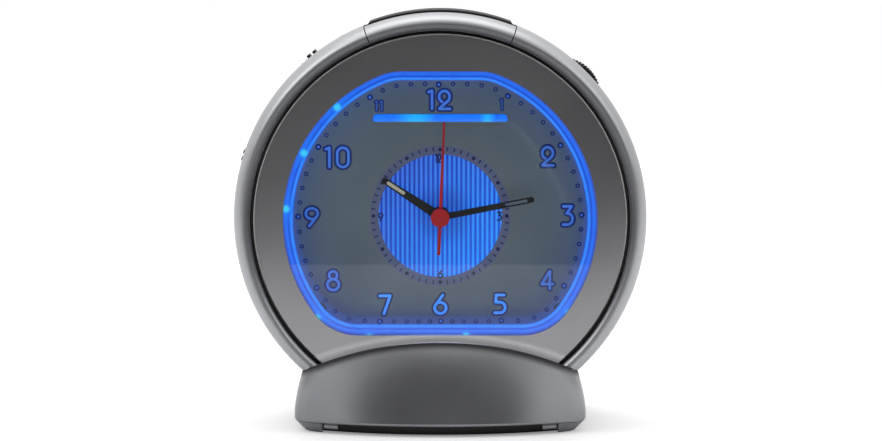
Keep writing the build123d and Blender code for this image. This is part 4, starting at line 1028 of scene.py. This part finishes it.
def print_hour_track(black):
    """The small track round the ribbed lens: dots, dashes and four numerals."""
    dots, dashes, numerals = [], [], []
    for minute in range(60):
        turn = math.radians(minute * 6)
        way = np.array([math.sin(turn), math.cos(turn)])
        if minute % 5:
            line = thin_out(run(way * DASH_START, way * DASH_END), 0.2)
            dashes.append(bead(line, 0.42, 0.03, around=6, cap=3))
        else:
            dots.append(dot(*(way * TRACK_RADIUS), 0.63, 0.04))
    for digits in TRACK_BOXES.values():
        for digit, *box in digits:
            for kind, path in numeral(digit, *box, TRACK_STROKE):
                line = thin_out(path, 0.15)
                numerals.append(stroke_bead(kind, line, TRACK_STROKE, 0.03, RIB_TOP))
    piece("hour_track_dots", dots, black)
    piece("hour_track_dashes", dashes, black)
    piece("hour_track_numerals", numerals, black)


ink_navy = ink("print_navy", linear(2, 24, 78), linear(4, 34, 104), 0.3)
ink_periwinkle = ink("print_periwinkle", linear(50, 104, 186), linear(62, 118, 206), 0.5)
ink_azure = ink("print_azure", linear(44, 128, 226), linear(58, 148, 246), 0.7)
ink_dim = ink("print_dim", linear(36, 78, 150), linear(48, 92, 168), 0.45)
ink_black = ink("print_black", linear(8, 14, 52), linear(14, 22, 70), 0.1)
print_numerals(ink_navy, ink_periwinkle, ink_azure, ink_dim)
print_minutes(ink_navy, ink_periwinkle)
print_hour_track(ink_black)


# Camera and light

# Camera: the photograph's width and the focal length in its pixels, the sensor in millimetres,
# the point it looks at, how far it looks down and how many metres off it stands.
PHOTO_WIDTH = 882.0
FOCAL_LENGTH = 2772.0
SENSOR_WIDTH = 36.0
CENTRE = Vector((0.26, -27.2, AXIS + 0.16)) * MM
TILT = math.radians(6.5)
AWAY = 0.9

# The floor, in metres from the clock's middle, and the point that the lamps are aimed at.
FLOOR_HALF = 1.6
FLOOR_FRONT = -0.45
FLOOR_REAR = 1.8
FLOOR_CELLS = 8
LAMP_AIM = (0.0, 0.0, 0.07)


def photo_camera():
    """Camera where the photograph was taken from: straight ahead and a little above the axis."""
    data = bpy.data.cameras.new("camera")
    data.lens = FOCAL_LENGTH / PHOTO_WIDTH * SENSOR_WIDTH
    camera = bpy.data.objects.new("camera", data)
    bpy.context.scene.collection.objects.link(camera)
    camera.location = CENTRE + Vector((0.0, -math.cos(TILT), math.sin(TILT))) * AWAY
    camera.rotation_euler = (CENTRE - camera.location).to_track_quat("-Z", "Y").to_euler()
    bpy.context.scene.camera = camera
    bpy.context.scene.view_settings.view_transform = "Standard"


def window_streak(x, y, z):
    """A thin curved pale streak in front of the clock, which the window mirrors."""
    height = z + 0.0803
    line = 0.0277 - height * 0.798 - height * (z + 0.0927) * 11.07
    streak = 1.0 - (x - line).abs().step(0.0003, 0.0014)
    return streak * z.over(-0.106) * z.under(-0.078) * y.under(0.0)


def studio():
    """White background for the camera; a dim room with soft light above and beside for the rest."""
    world = bpy.data.worlds.new("studio")
    bpy.context.scene.world = world
    world.use_nodes = True
    tools = Nodes(world.node_tree)
    sky = world.node_tree.nodes["Background"]
    way = tools.node("ShaderNodeTexCoord").outputs["Generated"]
    split = tools.node("ShaderNodeSeparateXYZ", {0: way})
    x, y, z = (Value(tools.tree, end) for end in split.outputs)
    above = z.step(0.25, 0.95) * 0.7
    beside = x.abs().step(0.45, 0.98) * 0.18
    behind = y.step(-0.2, 0.7) * 0.75
    room = 0.10 + above + beside + behind + window_streak(x, y, z) * 0.9
    path = tools.node("ShaderNodeLightPath")
    seen = Value(tools.tree, path.outputs["Is Camera Ray"])
    seen = seen.most(Value(tools.tree, path.outputs["Is Transmission Ray"]))
    level = seen.pick(room, 1.0)
    shade = tools.node("ShaderNodeCombineXYZ", {0: level, 1: level, 2: level})
    plug(tools.tree, sky.inputs["Color"], shade.outputs[0])
    sky.inputs["Strength"].default_value = 1.0


def soft_lamp(name, place, size, power):
    """A square soft lamp above the floor, aimed at the clock."""
    data = bpy.data.lights.new(name, "AREA")
    data.shape = "RECTANGLE"
    data.size = size
    data.size_y = size
    data.energy = power
    lamp = bpy.data.objects.new(name, data)
    bpy.context.scene.collection.objects.link(lamp)
    lamp.location = place
    lamp.rotation_euler = (Vector(LAMP_AIM) - Vector(place)).to_track_quat("-Z", "Y").to_euler()


def floor_piece():
    """Pale floor: white to the camera except where the object shades it."""
    marks = FLOOR_CELLS + 1
    wide = np.linspace(-FLOOR_HALF, FLOOR_HALF, marks)
    grid_x, grid_y = np.meshgrid(wide, np.linspace(FLOOR_FRONT, FLOOR_REAR, marks), indexing="ij")
    points = np.stack([grid_x, grid_y, np.zeros_like(grid_x)], -1).reshape(-1, 3)
    row, col = np.meshgrid(np.arange(FLOOR_CELLS), np.arange(FLOOR_CELLS), indexing="ij")
    first = row * marks + col
    faces = np.stack([first, first + marks, first + marks + 1, first + 1], -1)
    data = bpy.data.meshes.new("floor")
    data.from_pydata(points.tolist(), [], faces.reshape(-1, 4).tolist())
    look = Look("floor_paper")
    fine = look.noise(400.0, 2.0)
    look.set(Base_Color=look.mix(fine, linear(236, 236, 236), linear(242, 242, 242)), Roughness=0.9)
    path = look.node("ShaderNodeLightPath")
    seen = Value(look.tree, path.outputs["Is Camera Ray"])
    look.set(Emission_Color=look.mix(seen, BLACK, WHITE), Emission_Strength=0.25)
    data.materials.append(look.material)
    floor = bpy.data.objects.new("floor", data)
    bpy.context.scene.collection.objects.link(floor)


photo_camera()
studio()
floor_piece()
soft_lamp("key", (-0.95, -0.25, 0.95), 0.8, 4.6)
soft_lamp("fill", (1.0, -0.2, 0.7), 0.8, 2.4)
soft_lamp("top", (0.0, 0.35, 1.2), 1.1, 4.8)
